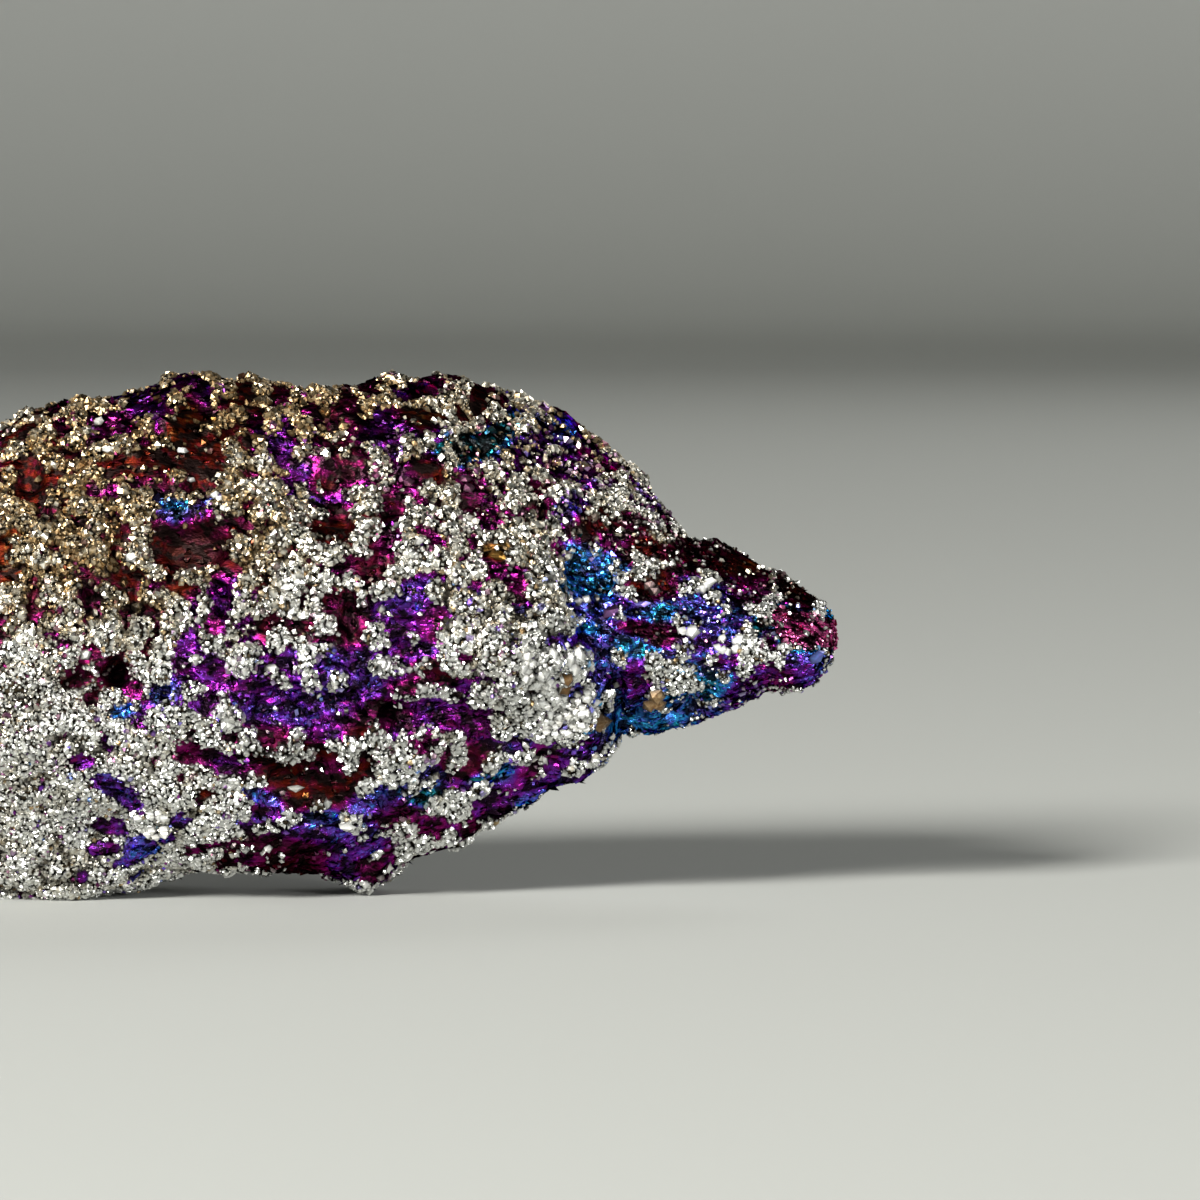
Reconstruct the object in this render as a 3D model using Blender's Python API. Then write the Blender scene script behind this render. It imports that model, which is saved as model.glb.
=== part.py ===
"""A hand specimen of peacock ore: one stone, pointed at one end, standing on its broken base.

Metres, +Z up. The long axis is X with the pointed end at +X, and the broad side with the
rainbow hollows faces -Y. The origin is the middle of the stone's box, at the level of its base.
"""

import math

import bmesh
import bpy
import numpy as np

MM = 0.001

# Driving sizes
LENGTH = 56.9 * MM
BLUNT_END = 7.5 * MM  # how far the rounding of the blunt end reaches
POINT_END = 0.9 * MM
BOXINESS = 2.5  # 2 would make every section an ellipse
CREST_LEAN = 1.6 * MM  # the crest lies this far behind the middle of the stone
LUMP_SIZE, LUMP_HEIGHT = 7.5 * MM, 0.85 * MM
KNOB_SIZE, KNOB_HEIGHT = 3.0 * MM, 0.42 * MM
FACET_SIZE, FACET_HEIGHT = 4.2 * MM, 0.60 * MM
CREASE = 7.0  # how sharply one flat face turns into the next
CRUST = 0.60 * MM  # the grain crust stands this far above the bare ore
BARE_SIZE, BARE_FROM, BARE_FULL = 5.0 * MM, 0.06, 0.34  # bare patches, away from the front

SECTIONS, POINTS_ROUND = 60, 76
BLUNT_SECTIONS, POINT_SECTIONS = 9, 4

# The outline seen from the front, as (x, z) in millimetres from the middle of the base
CREST_LINE = [
    (-28.5, 15.2), (-24.0, 19.2), (-19.0, 21.8), (-13.8, 23.7), (-12.1, 24.6), (-8.9, 25.1),
    (-5.7, 25.6), (-4.1, 26.2), (-1.7, 26.2), (3.1, 25.9), (7.1, 26.1), (8.7, 26.2),
    (11.9, 25.6), (13.5, 25.1), (15.1, 24.0), (16.7, 22.4), (18.3, 21.2), (19.1, 20.3),
    (19.9, 19.1), (20.7, 18.1), (22.3, 17.6), (23.9, 17.1), (25.5, 16.3), (27.1, 15.3), (28.5, 14.3),
]
KEEL_LINE = [
    (-28.5, 3.5), (-24.0, 0.6), (-20.5, -0.6), (-9.5, -0.6), (-7.3, 0.0), (-5.7, 0.4),
    (-1.7, 1.2), (0.0, 1.0), (3.9, 0.4), (4.7, 0.0), (5.5, 0.6), (6.3, 1.2), (7.9, 1.8),
    (9.5, 2.4), (11.1, 3.4), (12.7, 4.2), (14.3, 5.3), (15.7, 5.9), (16.5, 6.7), (17.2, 7.6),
    (19.1, 7.7), (20.7, 7.9), (22.3, 8.4), (23.9, 9.1), (24.7, 9.9), (26.3, 10.4), (28.5, 12.4),
]
# Depth in front of the middle and behind it, as (x, depth) in millimetres
FRONT_DEPTH = [(-28.5, 9.0), (-19.0, 10.6), (-8.0, 11.6), (4.0, 11.2), (12.0, 9.8), (16.0, 8.8),
               (20.0, 7.4), (24.0, 5.2), (28.5, 3.2)]
BACK_DEPTH = [(-28.5, 8.0), (-18.0, 10.4), (-6.0, 10.6), (5.0, 9.4), (13.0, 7.6), (20.0, 5.6),
              (28.5, 2.8)]

EDGE_RELIEF = 0.4  # the outline already has the stone's lumps, so the relief fades towards it

# A line inside the stone that the relief stands away from, as (x, z) in millimetres
CORE_LINE = [(-19.0, 10.8), (-8.0, 12.3), (3.0, 13.0), (14.0, 14.0), (24.0, 13.1)]

# Fracture planes that cut the rounded form back: (outward normal, a point on the plane in millimetres)
FRACTURES = {
    "slope in front of the crest": ((0.04, -0.66, 0.75), (0.0, -7.0, 21.6)),
    "slope above the base in front": ((-0.08, -0.80, -0.60), (-8.0, -8.8, 3.0)),
    "slope behind the crest": ((-0.14, 0.74, 0.66), (-4.0, 7.0, 20.0)),
    "broad face behind": ((0.22, 0.97, 0.05), (4.0, 8.6, 12.0)),
    "slope above the base behind": ((0.12, 0.80, -0.58), (-4.0, 7.6, 3.6)),
    "break across the blunt end": ((-0.86, -0.34, 0.38), (-25.2, -3.0, 15.5)),
    "break under the blunt end": ((-0.74, 0.36, -0.56), (-25.0, 4.0, 5.5)),
    "roof of the point": ((0.42, -0.56, 0.71), (21.5, -4.6, 15.3)),
    "underside of the point": ((0.30, -0.72, -0.62), (22.5, -4.4, 9.6)),
    "back of the point": ((0.28, 0.92, 0.24), (21.0, 4.2, 14.5)),
}
EDGE_ROUNDING = 1.1 * MM

# Shallow shell-shaped breaks: (centre, radius, depth), in millimetres
SCOOPS = {
    "broad break behind": ((-13.0, 9.5, 13.5), 8.5, 1.7),
    "small break behind": ((7.0, 8.0, 9.0), 6.0, 1.3),
    "break on top behind": ((1.0, 5.0, 24.0), 5.0, 0.9),
    "break behind the point": ((19.0, 5.0, 15.5), 4.5, 0.8),
    "dip in the middle of the front": ((4.5, -11.0, 10.5), 7.5, 0.9),
    "dip under the crest in front": ((-12.5, -8.0, 21.5), 5.0, 0.6),
    "dip in the point": ((19.0, -7.0, 12.0), 3.5, 0.5),
}

# The step where the thick crust ends and the point begins, from its upper to its lower end
STEP_TOP, STEP_FOOT = (14.0, 17.0), (16.5, 7.4)
STEP_DROP = 1.0 * MM

# Hollows without crust on the front: (x, z, half width, half height, tilt in degrees, depth), in millimetres
HOLLOWS = {
    "blue cleft and the hollow below it": (-4.1, 17.9, 2.2, 1.7, 8, 0.7),
    "violet pocket": (2.4, 20.2, 1.9, 2.1, 0, 0.9),
    "purple gap beside it": (5.7, 22.9, 1.1, 2.0, 10, 0.5),
    "rust hollow": (-12.2, 20.9, 1.3, 1.6, -30, 0.6),
    "purple gap under the crest": (-6.3, 24.2, 2.3, 1.2, 20, 0.4),
    "magenta gap": (10.2, 19.0, 1.1, 1.9, 0, 0.5),
    "purple shoulder": (13.6, 22.4, 1.8, 1.2, -15, 0.3),
    "blue hollow at the step": (15.9, 14.4, 1.3, 2.6, 0, 0.6),
    "blue hollow on the point": (19.6, 14.1, 2.4, 1.1, -8, 0.4),
    "blue hollow under the step": (17.6, 9.4, 1.5, 2.0, 0, 0.5),
    "cyan hollow": (20.9, 9.4, 1.3, 1.5, 30, 0.4),
    "long violet hollow": (1.3, 9.5, 3.2, 1.5, -4, 0.8),
    "long magenta hollow": (8.0, 9.0, 3.1, 1.1, -3, 0.7),
    "layered violet gap": (6.4, 13.2, 1.7, 1.9, 0, 0.7),
    "purple column": (-2.6, 11.0, 1.1, 2.2, 0, 0.5),
    "dark red hollow": (-0.6, 6.0, 4.2, 1.3, -6, 0.7),
    "purple flap over the base": (2.7, 2.5, 3.2, 1.9, 0, 0.4),
    "dark pit": (-8.2, 10.6, 1.3, 1.7, 25, 1.0),
    "violet gaps over the base": (-8.2, 3.6, 1.9, 1.6, -10, 0.6),
    "purple strip under the bank": (11.9, 5.3, 2.7, 0.8, 27, 0.5),
}


def perlin(places, size, seed):
    """Gradient noise from about -1 to 1: each corner of a grid of that size slopes in a random
    direction, and the slopes of a place's eight corners are blended smoothly."""
    chance = np.random.default_rng(seed)
    order = chance.permutation(256)
    slopes = chance.normal(size=(256, 3))
    slopes /= np.linalg.norm(slopes, axis=1)[:, None]
    at = places / size
    cell = np.floor(at).astype(int)
    inside = at - cell
    blend = inside**3 * (inside * (inside * 6 - 15) + 10)
    total = np.zeros(len(places))
    for corner in np.ndindex(2, 2, 2):
        x, y, z = (cell + corner).T & 255
        slope = slopes[order[(order[(order[x] + y) & 255] + z) & 255]]
        share = np.where(corner, blend, 1 - blend).prod(axis=1)
        total += share * (slope * (inside - corner)).sum(axis=1)
    return 1.6 * total


def facets(places, size, seed):
    """Height from about -1 to 1 of flat tilted faces: each cell of a grid of that size holds one
    seed with a tilted plane, and the planes are averaged with weights that fall off steeply with
    the distance from a place to the seed, so that the nearest one all but decides its height."""
    chance = np.random.default_rng(seed)
    order = chance.permutation(256)
    jitter = chance.random((256, 3))
    tilt = chance.normal(size=(256, 3))
    tilt /= np.linalg.norm(tilt, axis=1)[:, None]
    rise = chance.uniform(-0.5, 0.5, 256)
    at = places / size
    cell = np.floor(at).astype(int)
    weights = np.zeros(len(places))
    height = np.zeros(len(places))
    for beside in np.ndindex(3, 3, 3):
        near_cell = cell + beside - 1
        x, y, z = near_cell.T & 255
        pick = order[(order[(order[x] + y) & 255] + z) & 255]
        away = at - near_cell - jitter[pick]
        weight = np.exp(-CREASE * (away**2).sum(axis=1))
        weights += weight
        height += weight * (rise[pick] + (tilt[pick] * away).sum(axis=1))
    return height / weights


def ease(low, high, value):
    """0 up to low, 1 from high on, and a smooth rise between them."""
    t = np.clip((value - low) / (high - low), 0, 1)
    return t * t * (3 - 2 * t)


def through(knots, x):
    """A smooth line through the knots: a cubic between each two, sloped by their neighbours."""
    knot_x, knot_value = np.array(knots).T * MM
    slope = np.gradient(knot_value, knot_x)
    i = np.clip(np.searchsorted(knot_x, x) - 1, 0, len(knot_x) - 2)
    gap = knot_x[i + 1] - knot_x[i]
    t = (x - knot_x[i]) / gap
    rise = (2 * t - 3) * t * t
    bend = t * (t - 1)
    return (
        knot_value[i] * (1 + rise)
        - knot_value[i + 1] * rise
        + gap * bend * ((t - 1) * slope[i] + t * slope[i + 1])
    )


def stations(along):
    """For shares of the stone's length from 0 to 1, the distance from the blunt end and how full
    the section is. Both ends are quarter circles, so the sections crowd there."""
    blunt, point = BLUNT_SECTIONS / SECTIONS, 1 - POINT_SECTIONS / SECTIONS
    turn_in = np.clip(along / blunt, 0, 1) * math.pi / 2
    turn_out = np.clip((1 - along) / (1 - point), 0, 1) * math.pi / 2
    straight = LENGTH - BLUNT_END - POINT_END
    distance = (
        BLUNT_END * (1 - np.cos(turn_in))
        + straight * np.clip((along - blunt) / (point - blunt), 0, 1)
        + POINT_END * np.cos(turn_out)
    )
    return distance, np.sin(turn_in) * np.sin(turn_out)


def rounded_form(along, turn):
    """Places on the uncut form: at each station a section between the crest, the keel and the
    two depths, with its corners filled out. turn is 0 at the crest and a quarter in front."""
    distance, fullness = stations(along)
    x = distance - LENGTH / 2
    crest, keel = through(CREST_LINE, x), through(KEEL_LINE, x)
    up, front = np.cos(turn), np.sin(turn)
    corner = (np.abs(up) ** BOXINESS + np.abs(front) ** BOXINESS) ** (-1 / BOXINESS) * fullness
    depth = np.where(front > 0, through(FRONT_DEPTH, x), through(BACK_DEPTH, x))
    y = CREST_LEAN * up * fullness - depth * front * corner
    z = (crest + keel) / 2 + (crest - keel) / 2 * up * corner
    return np.stack([x, y, z], axis=1)


def fractured(places):
    """The form with each fracture plane's outside pulled back to the plane, its edge a little round."""
    for normal, point in FRACTURES.values():
        normal = np.array(normal) / np.linalg.norm(normal)
        above = (places - np.array(point) * MM) @ normal
        cut = (above + np.sqrt(above**2 + EDGE_ROUNDING**2)) / 2
        places = places - cut[:, None] * normal
    return places


def outward(places):
    """Unit directions away from the core line, which stops short of both ends of the stone."""
    core_x = np.clip(places[:, 0], CORE_LINE[0][0] * MM, CORE_LINE[-1][0] * MM)
    core = np.stack([core_x, np.zeros(len(places)), through(CORE_LINE, core_x)], axis=1)
    away = places - core
    return away / np.linalg.norm(away, axis=1)[:, None]


def hollow_depth(places):
    """How deep each place lies in the hand-placed hollows of the front. Their edges are ragged."""
    x, y, z = places.T
    ragged = 1 + 0.50 * perlin(places, 2.4 * MM, seed=5) + 0.25 * perlin(places, 1.1 * MM, seed=6)
    in_front = ease(0.5 * MM, 2.5 * MM, -y)
    deepest = np.zeros(len(places))
    for at_x, at_z, half_width, half_height, tilt, depth in HOLLOWS.values():
        angle = math.radians(tilt)
        dx, dz = x - at_x * MM, z - at_z * MM
        across = (dx * math.cos(angle) + dz * math.sin(angle)) / (half_width * MM)
        upward = (dz * math.cos(angle) - dx * math.sin(angle)) / (half_height * MM)
        inside = 1 - ease(0.45, 1.25, np.hypot(across, upward) * ragged)
        deepest = np.maximum(deepest, inside * depth * MM)
    return deepest * in_front


def scoop_depth(places):
    """How deep each place lies in the shell-shaped breaks: deepest at a break's centre."""
    total = np.zeros(len(places))
    for centre, radius, depth in SCOOPS.values():
        distance = np.linalg.norm(places - np.array(centre) * MM, axis=1)
        total += depth * MM * np.clip(1 - (distance / (radius * MM)) ** 2, 0, 1)
    return total


def step_down(places):
    """How far the front lies back beyond the step between the thick crust and the point."""
    x, y, z = places.T
    top, foot = np.array(STEP_TOP) * MM, np.array(STEP_FOOT) * MM
    along_step = (foot - top) / np.linalg.norm(foot - top)
    beyond = (x - top[0]) * -along_step[1] + (z - top[1]) * along_step[0]
    return (
        STEP_DROP
        * ease(-0.5 * MM, 0.8 * MM, beyond)
        * (1 - ease(16.0 * MM, 19.0 * MM, z))
        * (1 - ease(4.0 * MM, 9.0 * MM, beyond))
        * ease(1.0 * MM, 4.0 * MM, -y)
    )


def relief(places):
    """How far the surface stands out of the fractured form: lumps, knobs of grains and flat
    faces, less the breaks, the hollows, the step and the patches where the crust is missing."""
    lumps = LUMP_HEIGHT * perlin(places, LUMP_SIZE, seed=1)
    knobs = KNOB_HEIGHT * perlin(places, KNOB_SIZE, seed=2)
    faces = FACET_HEIGHT * facets(places, FACET_SIZE, seed=4)
    behind = ease(-4.0 * MM, 1.0 * MM, places[:, 1])
    beside = 1 - ease(-17.5 * MM, -14.5 * MM, places[:, 0])
    bare = ease(BARE_FROM, BARE_FULL, perlin(places, BARE_SIZE, seed=3)) * np.maximum(behind, beside)
    sunk = scoop_depth(places) + hollow_depth(places) + step_down(places)
    facing = ease(0.10, 0.65, np.abs(outward(places)[:, 1]))
    fade = EDGE_RELIEF + (1 - EDGE_RELIEF) * facing
    return fade * (lumps + knobs + faces - CRUST * bare - sunk)


def seated(places):
    """The stone cut flat where it rests, centred over the origin."""
    places[:, 2] = np.maximum(places[:, 2], 0)
    places[:, :2] -= (places[:, :2].min(axis=0) + places[:, :2].max(axis=0)) / 2
    return places


def ore_material():
    """Tarnished copper-iron ore under pale metallic grains."""
    material = bpy.data.materials.new("tarnished_ore")
    material.use_nodes = True
    shader = material.node_tree.nodes["Principled BSDF"]
    shader.inputs["Base Color"].default_value = (0.42, 0.33, 0.36, 1)
    shader.inputs["Metallic"].default_value = 1.0
    shader.inputs["Roughness"].default_value = 0.35
    return material


def make_stone(collection):
    """A sphere with its poles at the ends of the stone, each vertex moved to its place on the skin."""
    mesh = bpy.data.meshes.new("peacock_ore")
    bm = bmesh.new()
    bmesh.ops.create_uvsphere(bm, u_segments=POINTS_ROUND, v_segments=SECTIONS, radius=1)
    bm.to_mesh(mesh)
    bm.free()
    sphere = np.empty(len(mesh.vertices) * 3)
    mesh.vertices.foreach_get("co", sphere)
    side, front, pole = sphere.reshape(-1, 3).T
    along = np.arccos(np.clip(-pole, -1, 1)) / math.pi
    turn = np.arctan2(front, side)
    places = fractured(rounded_form(along, turn))
    places = seated(places + outward(places) * relief(places)[:, None])
    mesh.vertices.foreach_set("co", places.ravel())
    mesh.update()
    stone = bpy.data.objects.new("peacock_ore", mesh)
    stone.data.materials.append(ore_material())
    collection.objects.link(stone)
    return stone


def main():
    for old in list(bpy.data.objects):
        bpy.data.objects.remove(old)
    collection = bpy.data.collections.new("peacock_ore_specimen")
    bpy.context.scene.collection.children.link(collection)
    make_stone(collection)


main()
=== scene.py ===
# %% [markdown]
# # Peacock ore
# Peacock ore is a copper-iron sulphide whose surface has tarnished. The tarnish is a film thinner
# than a wavelength of light, and its thickness decides its colour, from gold through red, magenta
# and violet to blue. On this specimen a crust of pale metal grains covers most of the old surface,
# and the colours show in the hollows that the crust leaves free.
#
# The lesson builds the stone in four layers: the bare ore as one fine surface, the crust's grains,
# the tarnished flakes of the hollows, and a few large crystals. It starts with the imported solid,
# which stays in place for the physics while the fine surface is shown instead of it.

# %% The frame
import math

import bpy
import numpy as np
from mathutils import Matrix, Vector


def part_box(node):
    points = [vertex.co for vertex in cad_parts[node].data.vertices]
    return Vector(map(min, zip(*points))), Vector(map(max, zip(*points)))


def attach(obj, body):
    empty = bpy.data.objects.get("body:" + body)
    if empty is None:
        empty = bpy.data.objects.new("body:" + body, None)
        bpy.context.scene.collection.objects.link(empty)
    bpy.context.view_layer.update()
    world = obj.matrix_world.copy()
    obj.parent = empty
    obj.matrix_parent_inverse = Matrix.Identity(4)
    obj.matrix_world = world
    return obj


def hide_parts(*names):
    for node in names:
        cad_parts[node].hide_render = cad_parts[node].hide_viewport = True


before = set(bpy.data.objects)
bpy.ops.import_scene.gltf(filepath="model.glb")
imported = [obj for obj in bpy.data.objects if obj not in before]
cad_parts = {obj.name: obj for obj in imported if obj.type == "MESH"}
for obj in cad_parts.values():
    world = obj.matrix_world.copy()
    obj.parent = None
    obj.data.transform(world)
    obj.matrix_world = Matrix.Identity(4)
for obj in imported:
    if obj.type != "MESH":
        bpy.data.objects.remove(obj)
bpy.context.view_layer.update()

MM = 0.001
STONE_NODE = "peacock_ore"

# %% [markdown]
# ## The camera
# A close-up lens far from the stone keeps its shape undistorted, so that one pixel of the picture
# is 0.05 mm anywhere near the stone's middle. The camera is made first, because the hollows and
# their colours are placed by where they show in the picture. Its view is a formula of three lines,
# and the same formula then tells each point of the stone where it shows.

# %% The camera
PICTURE_WIDTH = 1200
PIXEL = 0.05 * MM
SENSOR = 36 * MM
LENS = 240 * MM
EYE_HEIGHT_ANGLE = math.radians(3)
LOOKED_AT = np.array([16.2, 0.0, 14.65]) * MM
FOCUS = PICTURE_WIDTH * LENS / SENSOR
EYE_DISTANCE = FOCUS * PIXEL

look = np.array([0, math.cos(EYE_HEIGHT_ANGLE), -math.sin(EYE_HEIGHT_ANGLE)])
upright = np.array([0, math.sin(EYE_HEIGHT_ANGLE), math.cos(EYE_HEIGHT_ANGLE)])
eye = LOOKED_AT - look * EYE_DISTANCE

camera_data = bpy.data.cameras.new("camera")
camera_data.sensor_width = SENSOR / MM
camera_data.lens = LENS / MM
camera_data.clip_start = 0.01
camera = bpy.data.objects.new("camera", camera_data)
camera.location = eye
camera.rotation_euler = (math.pi / 2 - EYE_HEIGHT_ANGLE, 0, 0)
bpy.context.scene.collection.objects.link(camera)
bpy.context.scene.camera = camera
print("eye at", eye, "and", round(EYE_DISTANCE, 3), "m from the stone")


def seen_at(places):
    """Where each place shows in the picture, in pixels from its left and from its top: the place's
    offset from the eye, across and upwards, divided by its depth and scaled by the focal length."""
    offset = places - eye
    depth = offset @ look
    across = PICTURE_WIDTH / 2 + FOCUS * offset[:, 0] / depth
    down = PICTURE_WIDTH / 2 - FOCUS * (offset @ upright) / depth
    return across, down


# %% [markdown]
# ## Chance with a memory
# Rock needs irregular fields that are the same in each run. Two kinds do nearly all of the work
# here. The first rolls smoothly, like hills: it is gradient noise. The second is made of flat
# tilted faces that meet in creases, like broken ore: each seed point owns a plane, and a place
# takes the plane of the seed that is nearest. Both look up their random numbers by grid cell, so
# they are worked out for all places at once.

# %% Smooth and faceted fields
def ease(low, high, value):
    """0 up to low, 1 from high on, and a smooth rise between them."""
    t = np.clip((value - low) / (high - low), 0, 1)
    return t * t * (3 - 2 * t)


def looked_up(order, cell):
    """A number from 0 to 255 for each grid cell: each of its three indices steps on through the
    order's random numbers, so that a cell always gets the same one."""
    x, y, z = cell.T & 255
    return order[(order[(order[x] + y) & 255] + z) & 255]


def perlin(places, size, seed):
    """Gradient noise from about -1 to 1: each corner of a grid of that size slopes in a random
    direction, and the slopes of a place's eight corners are blended smoothly."""
    chance = np.random.default_rng(seed)
    order = chance.permutation(256)
    slopes = chance.normal(size=(256, 3))
    slopes /= np.linalg.norm(slopes, axis=1)[:, None]
    at = places / size
    cell = np.floor(at).astype(int)
    inside = at - cell
    blend = inside**3 * (inside * (inside * 6 - 15) + 10)
    total = np.zeros(len(places))
    for corner in np.ndindex(2, 2, 2):
        slope = slopes[looked_up(order, cell + corner)]
        share = np.where(corner, blend, 1 - blend).prod(axis=1)
        total += share * (slope * (inside - corner)).sum(axis=1)
    return 1.6 * total


def rolling(places, start, fields):
    """The start value plus smooth fields, each given as (height, size in millimetres, seed)."""
    total = start
    for height, size, seed in fields:
        total = total + height * perlin(places, size * MM, seed)
    return total


def near_seeds(places, size, order, jitter):
    """The seeds in the 27 cells round each place, one cell after the other: which of 256 random
    seeds the cell holds, and the way from the seed to the place in cells."""
    at = places / size
    cell = np.floor(at).astype(int)
    for beside in np.ndindex(3, 3, 3):
        near_cell = cell + beside - 1
        pick = looked_up(order, near_cell)
        yield pick, at - near_cell - jitter[pick]


def facets(places, size, seed, crease):
    """Height from about -1 to 1 of flat tilted faces: each cell of a grid of that size holds one
    seed with a tilted plane, and the planes are averaged with weights that fall off steeply with
    the distance from a place to the seed. A higher crease makes the edges sharper."""
    chance = np.random.default_rng(seed)
    order = chance.permutation(256)
    jitter = chance.random((256, 3))
    tilt = chance.normal(size=(256, 3))
    tilt /= np.linalg.norm(tilt, axis=1)[:, None]
    rise = chance.uniform(-0.5, 0.5, 256)
    weights = np.zeros(len(places))
    height = np.zeros(len(places))
    for pick, away in near_seeds(places, size, order, jitter):
        weight = np.exp(-crease * (away**2).sum(axis=1))
        weights += weight
        height += weight * (rise[pick] + (tilt[pick] * away).sum(axis=1))
    return height / weights


# %% [markdown]
# ## The broad form
# The stone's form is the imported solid's, from the same measures: a section at each station along
# the stone, between a crest line and a keel line, cut back by fracture planes, with lumps, flat
# faces, shell-shaped breaks and hollows. It could be sculpted, but then no later step could ask for
# a point between two others. So a function of two parameters gives each point: how far along the
# stone it is, and how far round.

# %% Measures of the broad form
LENGTH = 56.9 * MM
BLUNT_END = 7.5 * MM
POINT_END = 0.9 * MM
BLUNT_SHARE = 9 / 60  # of the sections along the stone, the share in the rounding of that end
POINT_SHARE = 4 / 60
BOXINESS = 2.5
CREST_LEAN = 1.6 * MM
LUMP_SIZE, LUMP_HEIGHT = 7.5 * MM, 0.85 * MM
KNOB_SIZE, KNOB_HEIGHT = 3.0 * MM, 0.42 * MM
FACET_SIZE, FACET_HEIGHT, CREASE = 4.2 * MM, 0.60 * MM, 7.0
CRUST = 0.60 * MM
BARE_SIZE, BARE_FROM, BARE_FULL = 5.0 * MM, 0.06, 0.34
EDGE_RELIEF = 0.4
EDGE_ROUNDING = 1.1 * MM

# As (x, z) in millimetres, seen from the front
CREST_LINE = [
    (-28.5, 15.2), (-24.0, 19.2), (-19.0, 21.8), (-13.8, 23.7), (-12.1, 24.6), (-8.9, 25.1),
    (-5.7, 25.6), (-4.1, 26.2), (-1.7, 26.2), (3.1, 25.9), (7.1, 26.1), (8.7, 26.2),
    (11.9, 25.6), (13.5, 25.1), (15.1, 24.0), (16.7, 22.4), (18.3, 21.2), (19.1, 20.3),
    (19.9, 19.1), (20.7, 18.1), (22.3, 17.6), (23.9, 17.1), (25.5, 16.3), (27.1, 15.3), (28.5, 14.3),
]
KEEL_LINE = [
    (-28.5, 3.5), (-24.0, 0.6), (-20.5, -0.6), (-9.5, -0.6), (-7.3, 0.0), (-5.7, 0.4),
    (-1.7, 1.2), (0.0, 1.0), (3.9, 0.4), (4.7, 0.0), (5.5, 0.6), (6.3, 1.2), (7.9, 1.8),
    (9.5, 2.4), (11.1, 3.4), (12.7, 4.2), (14.3, 5.3), (15.7, 5.9), (16.5, 6.7), (17.2, 7.6),
    (19.1, 7.7), (20.7, 7.9), (22.3, 8.4), (23.9, 9.1), (24.7, 9.9), (26.3, 10.4), (28.5, 12.4),
]
CORE_LINE = [(-19.0, 10.8), (-8.0, 12.3), (3.0, 13.0), (14.0, 14.0), (24.0, 13.1)]
# As (x, depth) in millimetres, in front of the middle and behind it
FRONT_DEPTH = [(-28.5, 9.0), (-19.0, 10.6), (-8.0, 11.6), (4.0, 11.2), (12.0, 9.8), (16.0, 8.8),
               (20.0, 7.4), (24.0, 5.2), (28.5, 3.2)]
BACK_DEPTH = [(-28.5, 8.0), (-18.0, 10.4), (-6.0, 10.6), (5.0, 9.4), (13.0, 7.6), (20.0, 5.6),
              (28.5, 2.8)]

# %% Breaks, step and hollows
# Fracture planes as (outward normal, a point in millimetres)
FRACTURES = {
    "slope in front of the crest": ((0.04, -0.66, 0.75), (0.0, -7.0, 21.6)),
    "slope above the base in front": ((-0.08, -0.80, -0.60), (-8.0, -8.8, 3.0)),
    "slope behind the crest": ((-0.14, 0.74, 0.66), (-4.0, 7.0, 20.0)),
    "broad face behind": ((0.22, 0.97, 0.05), (4.0, 8.6, 12.0)),
    "slope above the base behind": ((0.12, 0.80, -0.58), (-4.0, 7.6, 3.6)),
    "break across the blunt end": ((-0.86, -0.34, 0.38), (-25.2, -3.0, 15.5)),
    "break under the blunt end": ((-0.74, 0.36, -0.56), (-25.0, 4.0, 5.5)),
    "roof of the point": ((0.42, -0.56, 0.71), (21.5, -4.6, 15.3)),
    "underside of the point": ((0.30, -0.72, -0.62), (22.5, -4.4, 9.6)),
    "back of the point": ((0.28, 0.92, 0.24), (21.0, 4.2, 14.5)),
}
# Shell-shaped breaks as (centre, radius, depth) in millimetres
SCOOPS = {
    "broad break behind": ((-13.0, 9.5, 13.5), 8.5, 1.7),
    "small break behind": ((7.0, 8.0, 9.0), 6.0, 1.3),
    "break on top behind": ((1.0, 5.0, 24.0), 5.0, 0.9),
    "break behind the point": ((19.0, 5.0, 15.5), 4.5, 0.8),
    "dip in the middle of the front": ((4.5, -11.0, 10.5), 7.5, 0.9),
    "dip under the crest in front": ((-12.5, -8.0, 21.5), 5.0, 0.6),
    "dip in the point": ((19.0, -7.0, 12.0), 3.5, 0.5),
}
STEP_TOP, STEP_FOOT = (14.0, 17.0), (16.5, 7.4)
STEP_DROP = 1.0 * MM
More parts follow.
